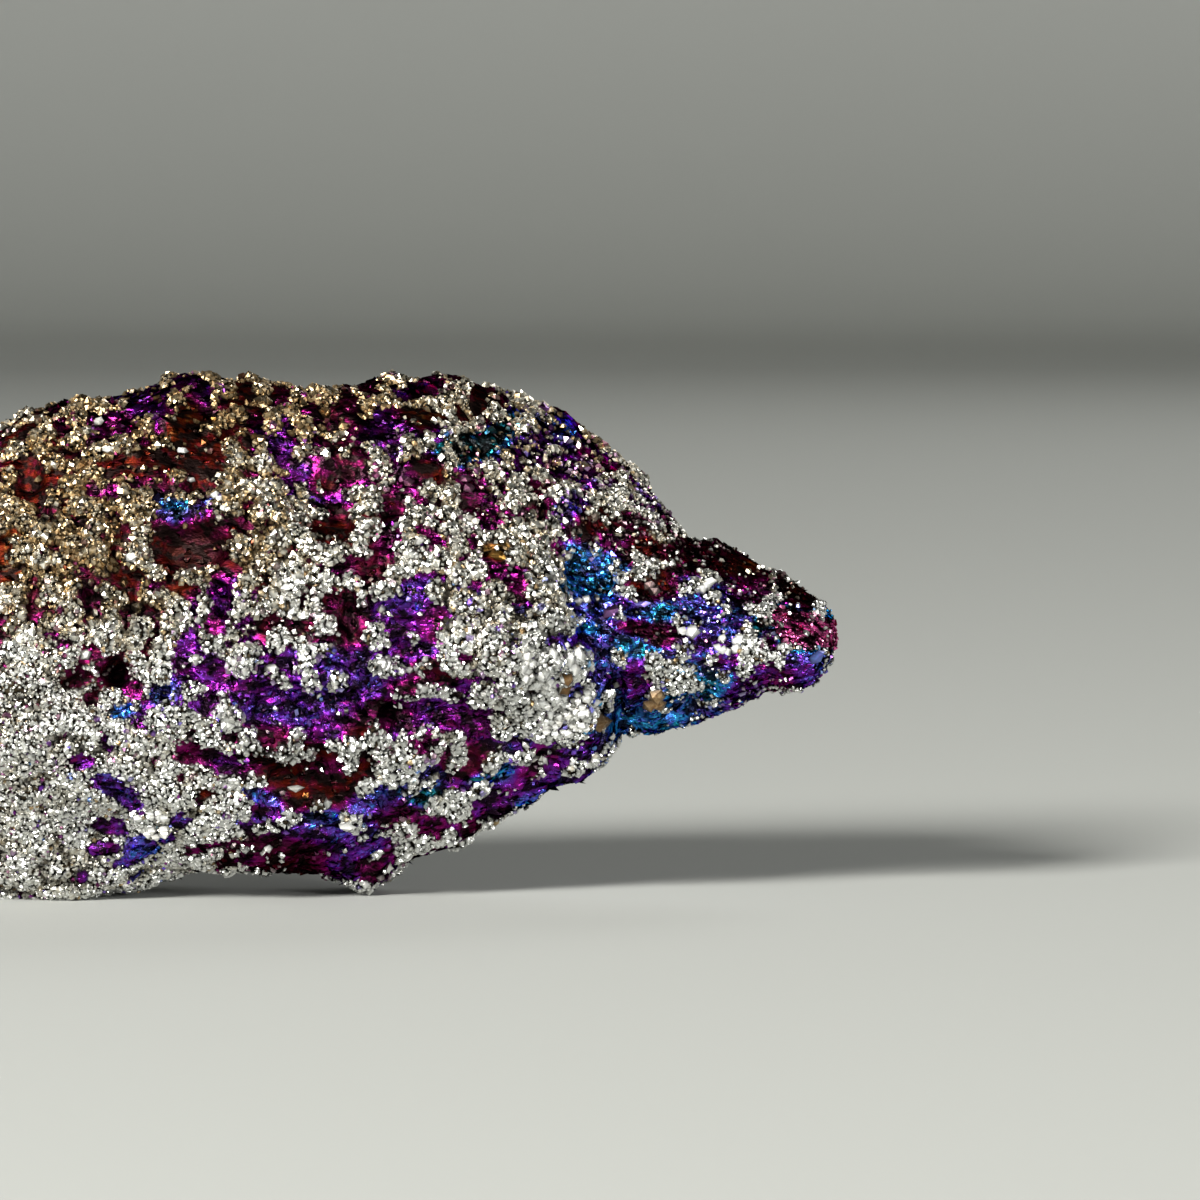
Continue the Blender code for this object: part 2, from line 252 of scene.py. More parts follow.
# Hollows as (x, z, half width, half height, tilt in degrees, depth) in millimetres
HOLLOWS = {
    "blue cleft and the hollow below it": (-4.1, 17.9, 2.2, 1.7, 8, 0.7),
    "violet pocket": (2.4, 20.2, 1.9, 2.1, 0, 0.9),
    "purple gap beside it": (5.7, 22.9, 1.1, 2.0, 10, 0.5),
    "rust hollow": (-12.2, 20.9, 1.3, 1.6, -30, 0.6),
    "purple gap under the crest": (-6.3, 24.2, 2.3, 1.2, 20, 0.4),
    "magenta gap": (10.2, 19.0, 1.1, 1.9, 0, 0.5),
    "purple shoulder": (13.6, 22.4, 1.8, 1.2, -15, 0.3),
    "blue hollow at the step": (15.9, 14.4, 1.3, 2.6, 0, 0.6),
    "blue hollow on the point": (19.6, 14.1, 2.4, 1.1, -8, 0.4),
    "blue hollow under the step": (17.6, 9.4, 1.5, 2.0, 0, 0.5),
    "cyan hollow": (20.9, 9.4, 1.3, 1.5, 30, 0.4),
    "long violet hollow": (1.3, 9.5, 3.2, 1.5, -4, 0.8),
    "long magenta hollow": (8.0, 9.0, 3.1, 1.1, -3, 0.7),
    "layered violet gap": (6.4, 13.2, 1.7, 1.9, 0, 0.7),
    "purple column": (-2.6, 11.0, 1.1, 2.2, 0, 0.5),
    "dark red hollow": (-0.6, 6.0, 4.2, 1.3, -6, 0.7),
    "purple flap over the base": (2.7, 2.5, 3.2, 1.9, 0, 0.4),
    "dark pit": (-8.2, 10.6, 1.3, 1.7, 25, 1.0),
    "violet gaps over the base": (-8.2, 3.6, 1.9, 1.6, -10, 0.6),
    "purple strip under the bank": (11.9, 5.3, 2.7, 0.8, 27, 0.5),
}
HOLLOWS_RAGGED = [(0.50, 2.4, 5), (0.25, 1.1, 6)]  # as (height, size in millimetres, seed)
print(len(FRACTURES), "fracture planes,", len(SCOOPS), "shell-shaped breaks,", len(HOLLOWS), "hollows")


# %% Functions of the broad form
def through(knots, x):
    """A smooth line through the knots: a cubic between each two, sloped by their neighbours."""
    knot_x, knot_value = np.array(knots).T * MM
    slope = np.gradient(knot_value, knot_x)
    i = np.clip(np.searchsorted(knot_x, x) - 1, 0, len(knot_x) - 2)
    gap = knot_x[i + 1] - knot_x[i]
    t = (x - knot_x[i]) / gap
    rise = (2 * t - 3) * t * t
    bend = t * (t - 1)
    return (
        knot_value[i] * (1 + rise)
        - knot_value[i + 1] * rise
        + gap * bend * ((t - 1) * slope[i] + t * slope[i + 1])
    )


def stations(along):
    """For shares of the stone's length from 0 to 1, the distance from the blunt end and how full
    the section is. Both ends are quarter circles, so the sections crowd there."""
    blunt, point = BLUNT_SHARE, 1 - POINT_SHARE
    turn_in = np.clip(along / blunt, 0, 1) * math.pi / 2
    turn_out = np.clip((1 - along) / (1 - point), 0, 1) * math.pi / 2
    straight = LENGTH - BLUNT_END - POINT_END
    distance = (
        BLUNT_END * (1 - np.cos(turn_in))
        + straight * np.clip((along - blunt) / (point - blunt), 0, 1)
        + POINT_END * np.cos(turn_out)
    )
    return distance, np.sin(turn_in) * np.sin(turn_out)


def rounded_form(along, turn):
    """Places on the uncut form: at each station a section between the crest, the keel and the
    two depths, with its corners filled out. turn is 0 at the crest and a quarter in front."""
    distance, fullness = stations(along)
    x = distance - LENGTH / 2
    crest, keel = through(CREST_LINE, x), through(KEEL_LINE, x)
    up, front = np.cos(turn), np.sin(turn)
    corner = (np.abs(up) ** BOXINESS + np.abs(front) ** BOXINESS) ** (-1 / BOXINESS) * fullness
    depth = np.where(front > 0, through(FRONT_DEPTH, x), through(BACK_DEPTH, x))
    y = CREST_LEAN * up * fullness - depth * front * corner
    z = (crest + keel) / 2 + (crest - keel) / 2 * up * corner
    return np.stack([x, y, z], axis=1)


def fractured(places):
    """The form with each fracture plane's outside pulled back to the plane, its edge a little round."""
    for normal, point in FRACTURES.values():
        normal = np.array(normal) / np.linalg.norm(normal)
        above = (places - np.array(point) * MM) @ normal
        cut = (above + np.sqrt(above**2 + EDGE_ROUNDING**2)) / 2
        places = places - cut[:, None] * normal
    return places


def outward(places):
    """Unit directions away from the core line, which stops short of both ends of the stone."""
    core_x = np.clip(places[:, 0], CORE_LINE[0][0] * MM, CORE_LINE[-1][0] * MM)
    core = np.stack([core_x, np.zeros(len(places)), through(CORE_LINE, core_x)], axis=1)
    away = places - core
    return away / np.linalg.norm(away, axis=1)[:, None]


# %% Functions of the broad relief
def in_ellipse(right, up, half_width, half_height, tilt):
    """Distance from an ellipse's middle, 1 on its edge, for offsets from that middle."""
    angle = math.radians(tilt)
    across = (right * math.cos(angle) + up * math.sin(angle)) / half_width
    upward = (up * math.cos(angle) - right * math.sin(angle)) / half_height
    return np.hypot(across, upward)


def hollow_depth(places):
    """How deep each place lies in the broad hollows of the front. Their edges are ragged."""
    x, y, z = places.T
    ragged = rolling(places, 1, HOLLOWS_RAGGED)
    deepest = np.zeros(len(places))
    for at_x, at_z, half_width, half_height, tilt, depth in HOLLOWS.values():
        reach = in_ellipse(x - at_x * MM, z - at_z * MM, half_width * MM, half_height * MM, tilt)
        deepest = np.maximum(deepest, (1 - ease(0.45, 1.25, reach * ragged)) * depth * MM)
    return deepest * ease(0.5 * MM, 2.5 * MM, -y)


def scoop_depth(places):
    """How deep each place lies in the shell-shaped breaks: deepest at a break's centre."""
    total = np.zeros(len(places))
    for centre, radius, depth in SCOOPS.values():
        distance = np.linalg.norm(places - np.array(centre) * MM, axis=1)
        total += depth * MM * np.clip(1 - (distance / (radius * MM)) ** 2, 0, 1)
    return total


def step_down(places):
    """How far the front lies back beyond the step between the thick crust and the point."""
    x, y, z = places.T
    top, foot = np.array(STEP_TOP) * MM, np.array(STEP_FOOT) * MM
    along_step = (foot - top) / np.linalg.norm(foot - top)
    beyond = (x - top[0]) * -along_step[1] + (z - top[1]) * along_step[0]
    return (
        STEP_DROP
        * ease(-0.5 * MM, 0.8 * MM, beyond)
        * (1 - ease(16.0 * MM, 19.0 * MM, z))
        * (1 - ease(4.0 * MM, 9.0 * MM, beyond))
        * ease(1.0 * MM, 4.0 * MM, -y)
    )


def hidden_bareness(places):
    """How bare the stone is where the picture doesn't reach: patches of a rolling field."""
    behind = ease(-4.0 * MM, 1.0 * MM, places[:, 1])
    beside = 1 - ease(-17.5 * MM, -14.5 * MM, places[:, 0])
    return ease(BARE_FROM, BARE_FULL, perlin(places, BARE_SIZE, seed=3)) * np.maximum(behind, beside)


def broad_relief(places):
    """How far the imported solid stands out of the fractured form."""
    lumps = LUMP_HEIGHT * perlin(places, LUMP_SIZE, seed=1)
    knobs = KNOB_HEIGHT * perlin(places, KNOB_SIZE, seed=2)
    faces = FACET_HEIGHT * facets(places, FACET_SIZE, seed=4, crease=CREASE)
    sunk = scoop_depth(places) + hollow_depth(places) + step_down(places)
    facing = ease(0.10, 0.65, np.abs(outward(places)[:, 1]))
    fade = EDGE_RELIEF + (1 - EDGE_RELIEF) * facing
    return fade * (lumps + knobs + faces - CRUST * hidden_bareness(places) - sunk)


# %% [markdown]
# ## Where the crust is missing, and what colour shows there
# On the real stone the crust has grown in clumps, and the tarnished ore lies bare between them. The
# bare patches could be painted, but a painting is an image, and this stone uses none. Instead
# they are listed as ellipses in the picture: the pixel of the middle, half the width and
# height, the tilt in degrees, and the thickness of the film as one number. It is 0 for gold and
# rises through red, magenta, violet and blue to slate. Past slate the colours begin again, with the
# pink of the stone's tip. A ragged field eats into the patches' edges.
#
# Three more lists give the small pits, how open the crust is between the patches, and the knobs
# where it is closed. The sides that the picture doesn't show take their patches and their colours
# from rolling fields.

# %% Thickness of the tarnish, by the colour that it gives
GOLD, RUST, RED, CRIMSON, MAGENTA, PURPLE = 0.0, 0.10, 0.20, 0.29, 0.43, 0.52
VIOLET, INDIGO, BLUE, CYAN, TEAL = 0.60, 0.67, 0.75, 0.80, 0.85
DARK_TEAL, SLATE, GREY = 0.88, 0.92, 0.97
PINK = 1.0  # of the second order, where the colours of a thicker film begin again
THICKEST = 1.25  # no drift brings the film at the very tip back to the first order

# Each patch: pixels from the left and the top, half width, half height, tilt, film
PATCHES = {
    "upper left": [
        (30, 475, 15, 20, 10, RED), (115, 424, 18, 12, 0, MAGENTA), (148, 405, 24, 13, 10, PURPLE),
        (188, 420, 14, 16, 0, RUST), (205, 440, 14, 8, 0, RED), (197, 468, 9, 16, 10, RED),
        (150, 458, 30, 6, 12, RED), (203, 394, 8, 14, 0, PURPLE), (247, 391, 8, 7, 0, RED),
        (284, 441, 10, 8, 0, PURPLE), (177, 511, 12, 9, 10, CYAN), (207, 505, 12, 5, 10, BLUE),
        (206, 531, 36, 17, 3, CRIMSON), (188, 553, 36, 17, 3, RED), (190, 488, 13, 6, 0, CRIMSON),
        (47, 517, 9, 7, 0, CRIMSON), (4, 551, 8, 12, 0, RUST), (112, 493, 9, 6, 20, MAGENTA),
        (88, 597, 10, 14, 0, CRIMSON), (152, 587, 6, 5, 0, MAGENTA),
    ],
    "upper middle": [
        (222, 603, 12, 20, 0, PURPLE), (214, 625, 7, 11, 0, MAGENTA), (301, 471, 10, 11, 20, PURPLE),
        (321, 465, 9, 7, 0, MAGENTA), (328, 478, 10, 11, 0, RED), (345, 470, 9, 14, 0, CRIMSON),
        (339, 489, 18, 6, 25, MAGENTA), (328, 501, 16, 6, 0, VIOLET), (334, 512, 14, 8, 0, CRIMSON),
        (336, 529, 21, 11, 5, RED), (343, 570, 10, 9, 0, MAGENTA), (366, 571, 15, 10, 0, CRIMSON),
        (349, 612, 11, 24, 0, CRIMSON), (302, 626, 16, 7, 0, CRIMSON), (366, 388, 12, 7, 0, CRIMSON),
        (350, 407, 9, 11, 20, CRIMSON), (393, 430, 15, 22, 15, PURPLE), (410, 482, 14, 13, 0, MAGENTA),
        (422, 468, 8, 8, 0, RED), (392, 509, 12, 8, 0, CRIMSON), (395, 540, 9, 8, 0, MAGENTA),
        (407, 414, 9, 7, 0, RUST), (406, 604, 22, 9, 0, VIOLET), (406, 625, 20, 9, 0, PURPLE),
        (432, 612, 8, 10, 0, MAGENTA), (415, 646, 22, 7, 0, PURPLE),
    ],
    "upper right": [
        (428, 381, 9, 12, 0, MAGENTA), (477, 397, 8, 18, 0, RED), (436, 430, 7, 6, 0, PURPLE),
        (426, 418, 9, 8, 0, RUST), (428, 470, 10, 12, 0, RED), (475, 446, 34, 8, 12, SLATE),
        (531, 443, 24, 9, 10, PURPLE), (566, 430, 12, 11, 0, BLUE), (596, 452, 20, 9, -35, MAGENTA),
        (565, 466, 24, 11, -10, PURPLE), (476, 483, 9, 12, 0, MAGENTA), (468, 502, 12, 12, 0, CRIMSON),
        (489, 516, 12, 15, 0, MAGENTA), (563, 515, 12, 12, 0, VIOLET), (590, 528, 18, 8, 0, RED),
        (541, 509, 8, 15, 0, CRIMSON), (653, 503, 11, 16, 30, PURPLE), (639, 526, 10, 8, 0, CRIMSON),
        (645, 543, 12, 9, 0, RED), (609, 540, 16, 8, 0, MAGENTA), (554, 548, 6, 7, 0, MAGENTA),
        (498, 552, 12, 7, 0, GOLD), (503, 573, 24, 7, -28, MAGENTA), (472, 547, 5, 10, 0, MAGENTA),
    ],
    "the point": [
        (584, 563, 16, 14, 0, BLUE), (590, 585, 18, 12, 0, CYAN), (598, 608, 24, 10, 0, INDIGO),
        (582, 630, 12, 6, 0, BLUE), (658, 613, 16, 11, 0, CYAN), (640, 606, 14, 4, 0, VIOLET),
        (703, 608, 24, 15, 5, INDIGO), (716, 627, 18, 10, 0, INDIGO), (650, 629, 20, 7, 0, CRIMSON),
        (650, 591, 16, 8, 0, RED), (690, 552, 24, 9, -15, CRIMSON), (735, 566, 22, 6, -20, RED),
        (722, 546, 36, 9, -22, CRIMSON), (745, 566, 13, 6, 0, GOLD), (752, 588, 16, 12, 0, MAGENTA),
        (804, 595, 14, 10, -35, RED), (803, 631, 20, 15, 0, THICKEST), (829, 611, 5, 6, 0, BLUE),
        (568, 640, 18, 5, 5, VIOLET), (601, 644, 12, 8, 0, INDIGO), (624, 643, 14, 8, -10, CYAN),
        (609, 676, 14, 12, 0, INDIGO), (628, 684, 12, 14, 0, PURPLE), (623, 718, 16, 18, 0, BLUE),
        (650, 720, 18, 9, 0, BLUE), (711, 646, 16, 8, 0, VIOLET), (724, 662, 12, 8, 0, PURPLE),
        (711, 678, 12, 10, 0, CYAN), (684, 706, 14, 13, 0, BLUE), (708, 694, 9, 8, 0, CYAN),
        (705, 715, 14, 8, 0, INDIGO), (744, 698, 16, 9, 20, VIOLET), (765, 674, 18, 13, 35, PURPLE),
        (782, 679, 10, 8, 0, MAGENTA), (771, 643, 6, 10, 0, MAGENTA), (797, 665, 12, 14, 0, VIOLET),
        (818, 658, 8, 8, 0, INDIGO),
    ],
    "lower left": [
        (93, 654, 12, 10, 0, CRIMSON), (80, 676, 16, 8, 15, CRIMSON), (114, 673, 16, 16, 0, CRIMSON),
        (132, 688, 9, 9, 0, MAGENTA), (123, 711, 10, 6, 0, BLUE), (63, 644, 7, 5, 0, MAGENTA),
        (140, 720, 6, 7, 0, PURPLE), (165, 693, 7, 7, 0, INDIGO), (211, 672, 13, 17, 0, PURPLE),
        (204, 704, 13, 10, 0, PURPLE), (192, 752, 13, 11, 0, CRIMSON), (219, 762, 30, 9, -18, PURPLE),
        (107, 742, 4, 9, 20, PURPLE), (82, 761, 12, 5, -5, PURPLE), (110, 784, 18, 8, -20, VIOLET),
        (132, 799, 14, 7, -25, VIOLET), (110, 826, 19, 7, -8, PURPLE), (104, 848, 16, 6, 18, PURPLE),
        (140, 848, 13, 11, 10, INDIGO), (126, 863, 10, 5, 0, VIOLET), (181, 818, 9, 6, 0, VIOLET),
        (166, 838, 9, 4, 0, VIOLET), (205, 847, 22, 4, 15, MAGENTA),
    ],
    "lower middle": [
        (262, 690, 24, 12, 0, PURPLE), (295, 705, 52, 15, -3, VIOLET), (323, 722, 18, 10, 0, PURPLE),
        (271, 740, 18, 9, 0, CRIMSON), (354, 665, 22, 11, -8, VIOLET), (381, 681, 28, 8, -8, VIOLET),
        (356, 706, 18, 8, 0, VIOLET), (376, 711, 22, 8, -3, CRIMSON), (406, 687, 16, 6, -5, RED),
        (422, 704, 16, 11, 0, PURPLE), (447, 712, 36, 15, -8, PURPLE), (362, 731, 10, 7, 0, RED),
        (302, 780, 38, 17, -5, RED), (323, 772, 16, 8, 0, MAGENTA), (260, 794, 20, 6, -18, BLUE),
        (310, 832, 38, 11, -3, VIOLET), (323, 820, 14, 7, 0, BLUE), (372, 803, 17, 10, 0, INDIGO),
        (391, 812, 17, 8, -8, MAGENTA), (392, 789, 18, 8, 10, INDIGO), (421, 799, 8, 6, 0, TEAL),
        (292, 858, 36, 18, -4, CRIMSON), (346, 854, 22, 22, 0, VIOLET), (250, 858, 10, 6, 0, PURPLE),
        (368, 869, 10, 8, 0, CRIMSON), (395, 851, 10, 6, 0, MAGENTA), (419, 819, 9, 8, 0, MAGENTA),
    ],
    "lower right": [
        (428, 635, 10, 10, 0, MAGENTA), (425, 650, 13, 6, 0, VIOLET), (464, 657, 6, 5, 0, MAGENTA),
        (434, 673, 12, 9, 0, CRIMSON), (469, 722, 16, 8, 0, MAGENTA), (423, 742, 8, 7, 0, MAGENTA),
        (472, 758, 10, 7, 0, CRIMSON), (513, 744, 8, 7, 0, VIOLET), (502, 776, 14, 6, 15, BLUE),
        (530, 769, 13, 7, 25, MAGENTA), (557, 763, 16, 8, 25, PURPLE), (586, 751, 17, 5, 15, VIOLET),
        (492, 806, 18, 12, 10, PURPLE), (513, 789, 16, 11, 25, PURPLE), (524, 804, 9, 8, 0, BLUE),
        (552, 780, 14, 6, 25, VIOLET), (428, 827, 8, 8, 0, MAGENTA), (472, 824, 6, 5, 0, CRIMSON),
    ],
}
print(sum(len(patches) for patches in PATCHES.values()), "patches placed by eye")

# %% Pits in the tarnished ore
# Pixels from the left and the top, half width, half height, and depth in millimetres
PITS = [
    (378, 712, 24, 9, 1.2), (365, 868, 9, 7, 0.7), (115, 673, 13, 14, 0.7), (541, 509, 6, 13, 0.6),
    (694, 703, 6, 6, 0.5), (88, 597, 7, 10, 0.5), (193, 546, 36, 28, 0.56), (196, 487, 18, 5, 0.5),
    (192, 516, 16, 3, 0.4), (600, 720, 7, 18, 0.8), (160, 432, 8, 10, 0.6), (80, 447, 13, 4, 0.5),
    (38, 405, 12, 5, 0.5), (470, 446, 30, 8, 0.42), (165, 693, 8, 8, 0.6), (124, 711, 11, 7, 0.4),
    (330, 477, 10, 13, 0.5), (222, 598, 9, 22, 0.45), (30, 476, 15, 18, 0.36), (642, 711, 9, 7, 0.40),
    (670, 716, 12, 5, 0.40), (700, 711, 6, 5, 0.35), (616, 698, 11, 30, 0.55), (655, 632, 34, 6, 0.5),
    (346, 466, 13, 13, 0.6), (612, 650, 6, 16, 0.5), (632, 612, 10, 4, 0.5), (598, 606, 5, 12, 0.5),
    (350, 620, 9, 22, 0.6), (375, 580, 18, 6, 0.5),
]
print(len(PITS), "pits placed by eye")

# %% How open the crust is
# Away from the patches: pixels of the middle, half width, half height, and openness. At -0.8 a
# tenth of the ore is bare, at -0.5 a quarter, at -0.2 half, and at 0 three quarters.
OPENNESS = [
    (60, 600, 130, 110, -0.60), (60, 800, 120, 70, -0.99), (190, 850, 60, 30, -0.84),
    (60, 480, 90, 60, -0.45), (60, 410, 60, 30, -0.30), (170, 410, 80, 40, -0.15),
    (185, 500, 40, 60, -0.15), (265, 540, 40, 80, -0.84), (255, 390, 50, 25, -0.25),
    (340, 470, 60, 90, -0.10), (340, 580, 60, 60, -0.15), (415, 460, 60, 70, -0.15),
    (430, 380, 90, 25, -0.35), (500, 430, 50, 50, -0.45), (560, 470, 60, 60, -0.10),
    (620, 520, 50, 50, -0.15), (500, 560, 50, 40, -0.35), (480, 620, 60, 60, -1.10),
    (545, 650, 50, 80, -1.25), (210, 640, 40, 80, -0.20), (270, 640, 40, 50, -0.45),
    (340, 700, 130, 40, 0.10), (330, 750, 110, 40, -0.15), (330, 820, 110, 60, 0.00),
    (450, 800, 80, 40, -0.40), (480, 740, 60, 40, -0.45), (510, 780, 60, 20, 0.00),
    (600, 620, 35, 120, 0.10), (680, 600, 60, 60, -0.10), (657, 666, 26, 26, -0.55),
    (740, 590, 70, 60, -0.15), (760, 670, 60, 50, -0.05), (700, 550, 60, 20, 0.15),
    (200, 740, 50, 60, -0.25), (120, 680, 50, 40, -0.45), (110, 820, 50, 50, -0.45),
    (755, 570, 40, 10, 0.70), (805, 590, 25, 12, 0.60), (838, 625, 8, 30, 1.10), (800, 675, 30, 10, 1.20),
    (745, 708, 40, 8, 1.00), (670, 728, 40, 7, 0.70),
]
USUAL_OPENNESS, USUAL_WEIGHT = -0.55, 0.05  # where no region is near
HIDDEN_OPENNESS, HIDDEN_PATCHES, HIDDEN_ROLLING = -0.47, 0.8, 0.35  # on the sides not shown
print(len(OPENNESS), "regions of the crust")

# %% Knobs of closed crust
# Pixels of the middle, half width, half height
KNOBS = [
    (378, 468, 17, 22), (366, 500, 14, 20), (366, 535, 14, 14), (412, 453, 13, 14), (450, 490, 12, 36),
    (418, 517, 18, 11), (414, 545, 14, 13), (300, 512, 13, 30), (318, 553, 14, 12), (345, 552, 12, 9),
    (298, 583, 18, 12), (312, 612, 18, 10), (396, 574, 13, 16), (378, 636, 17, 20), (325, 648, 20, 8),
    (322, 628, 12, 7), (265, 472, 19, 32), (545, 588, 14, 12), (540, 612, 18, 10), (658, 664, 17, 18),
    (655, 566, 14, 10), (620, 578, 10, 8), (700, 584, 12, 8), (686, 674, 8, 7), (305, 664, 14, 26),
    (334, 682, 9, 15), (228, 717, 16, 18), (292, 752, 15, 13), (347, 752, 11, 13), (376, 742, 14, 13),
    (388, 768, 20, 18), (384, 665, 15, 8), (245, 652, 30, 9), (238, 670, 12, 6), (218, 505, 9, 9),
    (148, 509, 12, 10), (290, 815, 13, 9), (402, 842, 18, 26), (715, 700, 5, 5), (748, 638, 12, 32),
    (632, 729, 6, 5), (150, 432, 16, 9), (130, 448, 14, 8), (490, 470, 10, 12), (515, 488, 14, 16),
    (508, 530, 12, 12), (560, 490, 12, 10), (600, 500, 14, 10), (430, 690, 12, 6), (450, 735, 18, 8),
    (250, 745, 12, 8), (228, 780, 18, 8), (665, 540, 14, 8), (712, 600, 8, 6), (760, 620, 10, 10),
    (320, 394, 22, 13), (386, 396, 13, 14), (432, 402, 10, 11), (298, 424, 15, 11), (342, 432, 12, 9),
    (308, 568, 15, 15), (235, 812, 26, 16), (262, 828, 18, 10), (190, 577, 20, 8), (228, 392, 14, 10),
    (264, 391, 13, 9), (325, 422, 11, 15), (365, 412, 10, 8), (232, 450, 12, 22), (772, 590, 8, 20),
    (726, 676, 8, 8),
]
KNOB_MIDDLE, KNOB_RISE = -0.9, 1.0  # openness in a knob's middle, and how much more at its edge
FAR_FROM_KNOBS = 3.0
print(len(KNOBS), "knobs placed by eye")


# %% The crust's clumps
FINEST_CRUST = (50, 790, 190, 150)  # pixels of the middle, half width, half height
CLUMP_SIZE, KNOB_CELL = 1.05 * MM, 0.95 * MM
UPRIGHT_ROWS, LEVEL_ROWS = np.array([1.25, 1.0, 0.55]), np.array([0.50, 1.0, 1.35])
ROW_HEIGHT, CLUMP_KNOB_HEIGHT = 0.55, 0.60
KNOB_CURVE, KNOB_STRETCH, KNOB_MIDLINE = 1.5, 2.2, 0.32


def in_region(across, down, left, top, half_width, half_height, tilt=0):
    """Distance of those pixels from the middle of an ellipse in the picture, 1 on its edge."""
    return in_ellipse(across - left, top - down, half_width, half_height, tilt)


def within(across, down, region, full, none):
    """1 up to that share of the way from a region's middle to its edge, 0 from the second share on."""
    return 1 - ease(full, none, in_region(across, down, *region))


def knobs(places, size, seed):
    """Height of rounded knobs that meet in creases: each cell of a grid of that size holds one
    knob, which falls off with the square of the distance from its middle, and a place takes the
    highest. About half of the values are below 0, and few are outside -1 to 1."""
    chance = np.random.default_rng(seed)
    order = chance.permutation(256)
    jitter = chance.random((256, 3))
    rise = chance.uniform(-0.30, 0.30, 256)
    highest = np.full(len(places), -9.0)
    for pick, away in near_seeds(places, size, order, jitter):
        highest = np.maximum(highest, rise[pick] - KNOB_CURVE * (away**2).sum(axis=1))
    return KNOB_STRETCH * (highest + KNOB_MIDLINE)


def finest(places):
    """1 where the picture shows the finest and most even crust, at the lower left, 0 elsewhere."""
    across, down = seen_at(places)
    return within(across, down, FINEST_CRUST, 0.8, 1.25) * (places[:, 1] < 0)


def clumps(places):
    """Where the crust stands in clumps, from about -1 in the gaps between them to 1 on their tops:
    knobs in upright rows above and in level rows below, blended with the height, and lower where
    the crust is finest."""
    high = ease(9.0 * MM, 13.0 * MM, places[:, 2])
    upright_rows = perlin(places * UPRIGHT_ROWS, CLUMP_SIZE, seed=31)
    level_rows = perlin(places * LEVEL_ROWS, CLUMP_SIZE, seed=32)
    rows = high * upright_rows + (1 - high) * level_rows
    standing = ROW_HEIGHT * rows + CLUMP_KNOB_HEIGHT * knobs(places, KNOB_CELL, seed=33)
    return (1 - 0.5 * finest(places)) * standing


# %% Bareness and film
REGION_FALL, FILM_FALL, FILM_FAR = 1.4, 1.1, 1e-4  # how weight is lost with distance
PATCH_MIDDLE, PATCH_FALL = 1.05, 0.90  # openness in a patch's middle, and how much less at its edge
OPEN_EDGE = (-0.17, -0.05)  # the crust ends where openness less clumps passes through these
# As (height, size in millimetres, seed)
PATCHES_RAGGED = [(0.22, 1.1, 21), (0.18, 0.45, 22)]
HIDDEN_FILM, FILM_DRIFT = [(0.42, 7.0, 25), (0.20, 1.8, 26)], [(0.04, 0.7, 28), (0.045, 0.3, 29)]


def pictured_share(places, across):
    """1 where the picture shows the stone's front, 0 behind and beyond its left edge. The point's
    ridge lies further back than the crest does."""
    behind = places[:, 1] - 2.0 * MM * ease(600, 700, across)
    return ease(-14, 6, across) * (1 - ease(1.5 * MM, 3.5 * MM, behind))


def knob_reach(places, across, down):
    """Distance to the nearest of the listed knobs of the crust, 1 on its edge, at most 3."""
    nearest = np.full(len(places), FAR_FROM_KNOBS)
    for knob in KNOBS:
        nearest = np.minimum(nearest, in_region(across, down, *knob))
    return np.where(pictured_share(places, across) > 0.5, nearest, FAR_FROM_KNOBS)


def bare_and_film(places, mounds):
    """For each place, how bare of crust it is, and the thickness of the film there.

    A place is bare where the crust is more open than the clumps stand high. A patch is wide open
    in its middle and closes towards its edge. Between the patches the crust is as open as the
    nearest regions, and a knob closes it with the square of the distance from the knob's middle.
    The film is the patches' mean, weighted by nearness, and drifts a little.
    """
    across, down = seen_at(places)
    shown = pictured_share(places, across)
    region_sum = np.full(len(places), USUAL_WEIGHT * USUAL_OPENNESS)
    region_weight = np.full(len(places), USUAL_WEIGHT)
    for *region, openness in OPENNESS:
        nearness = np.exp(-REGION_FALL * in_region(across, down, *region) ** 2)
        region_sum += openness * nearness
        region_weight += nearness
    opened = region_sum / region_weight
    ragged = rolling(places, 1, PATCHES_RAGGED)
    film_sum = np.zeros(len(places))
    film_weight = np.full(len(places), 1e-9)
    for patches in PATCHES.values():
        for *patch, film in patches:
            reach = in_region(across, down, *patch)
            opened = np.maximum(opened, PATCH_MIDDLE - PATCH_FALL * (reach * ragged) ** 2)
            nearness = np.exp(-FILM_FALL * reach**2) + FILM_FAR / (1 + reach**4)
            film_sum += film * nearness
            film_weight += nearness
    opened = np.minimum(opened, KNOB_MIDDLE + KNOB_RISE * knob_reach(places, across, down) ** 2)
    hidden = HIDDEN_OPENNESS + HIDDEN_PATCHES * hidden_bareness(places)
    hidden += HIDDEN_ROLLING * perlin(places, 1.8 * MM, seed=27)
    opened = shown * opened + (1 - shown) * hidden
    bare = ease(*OPEN_EDGE, opened - mounds)
    wander = np.clip(rolling(places, 0.5, HIDDEN_FILM), 0, SLATE)
    film = shown * film_sum / film_weight + (1 - shown) * wander
    return bare, np.maximum(film + rolling(places, 0, FILM_DRIFT), 0)


def pit_depth(places):
    """How deep each place lies in the small pits of the front."""
    across, down = seen_at(places)
    total = np.zeros(len(places))
    for *pit, depth in PITS:
        total += depth * MM * within(across, down, pit, 0.6, 1.15)
    return total * pictured_share(places, across)


# %% [markdown]
# ## The bare ore
# The fine surface follows the solid, a little below it, so that the grains' tips reach the solid's
# own surface. Under the crust it rises in small knobs. Where the crust is missing it drops, and is
# broken into tiny flat faces, which give the hollows their glitter. A Displace modifier could lift
# a smooth surface by a texture, but here the patches decide which relief a place gets. So one grid
# of points is worked out with all of it. The grid's lines crowd towards the front, where the
# picture looks.

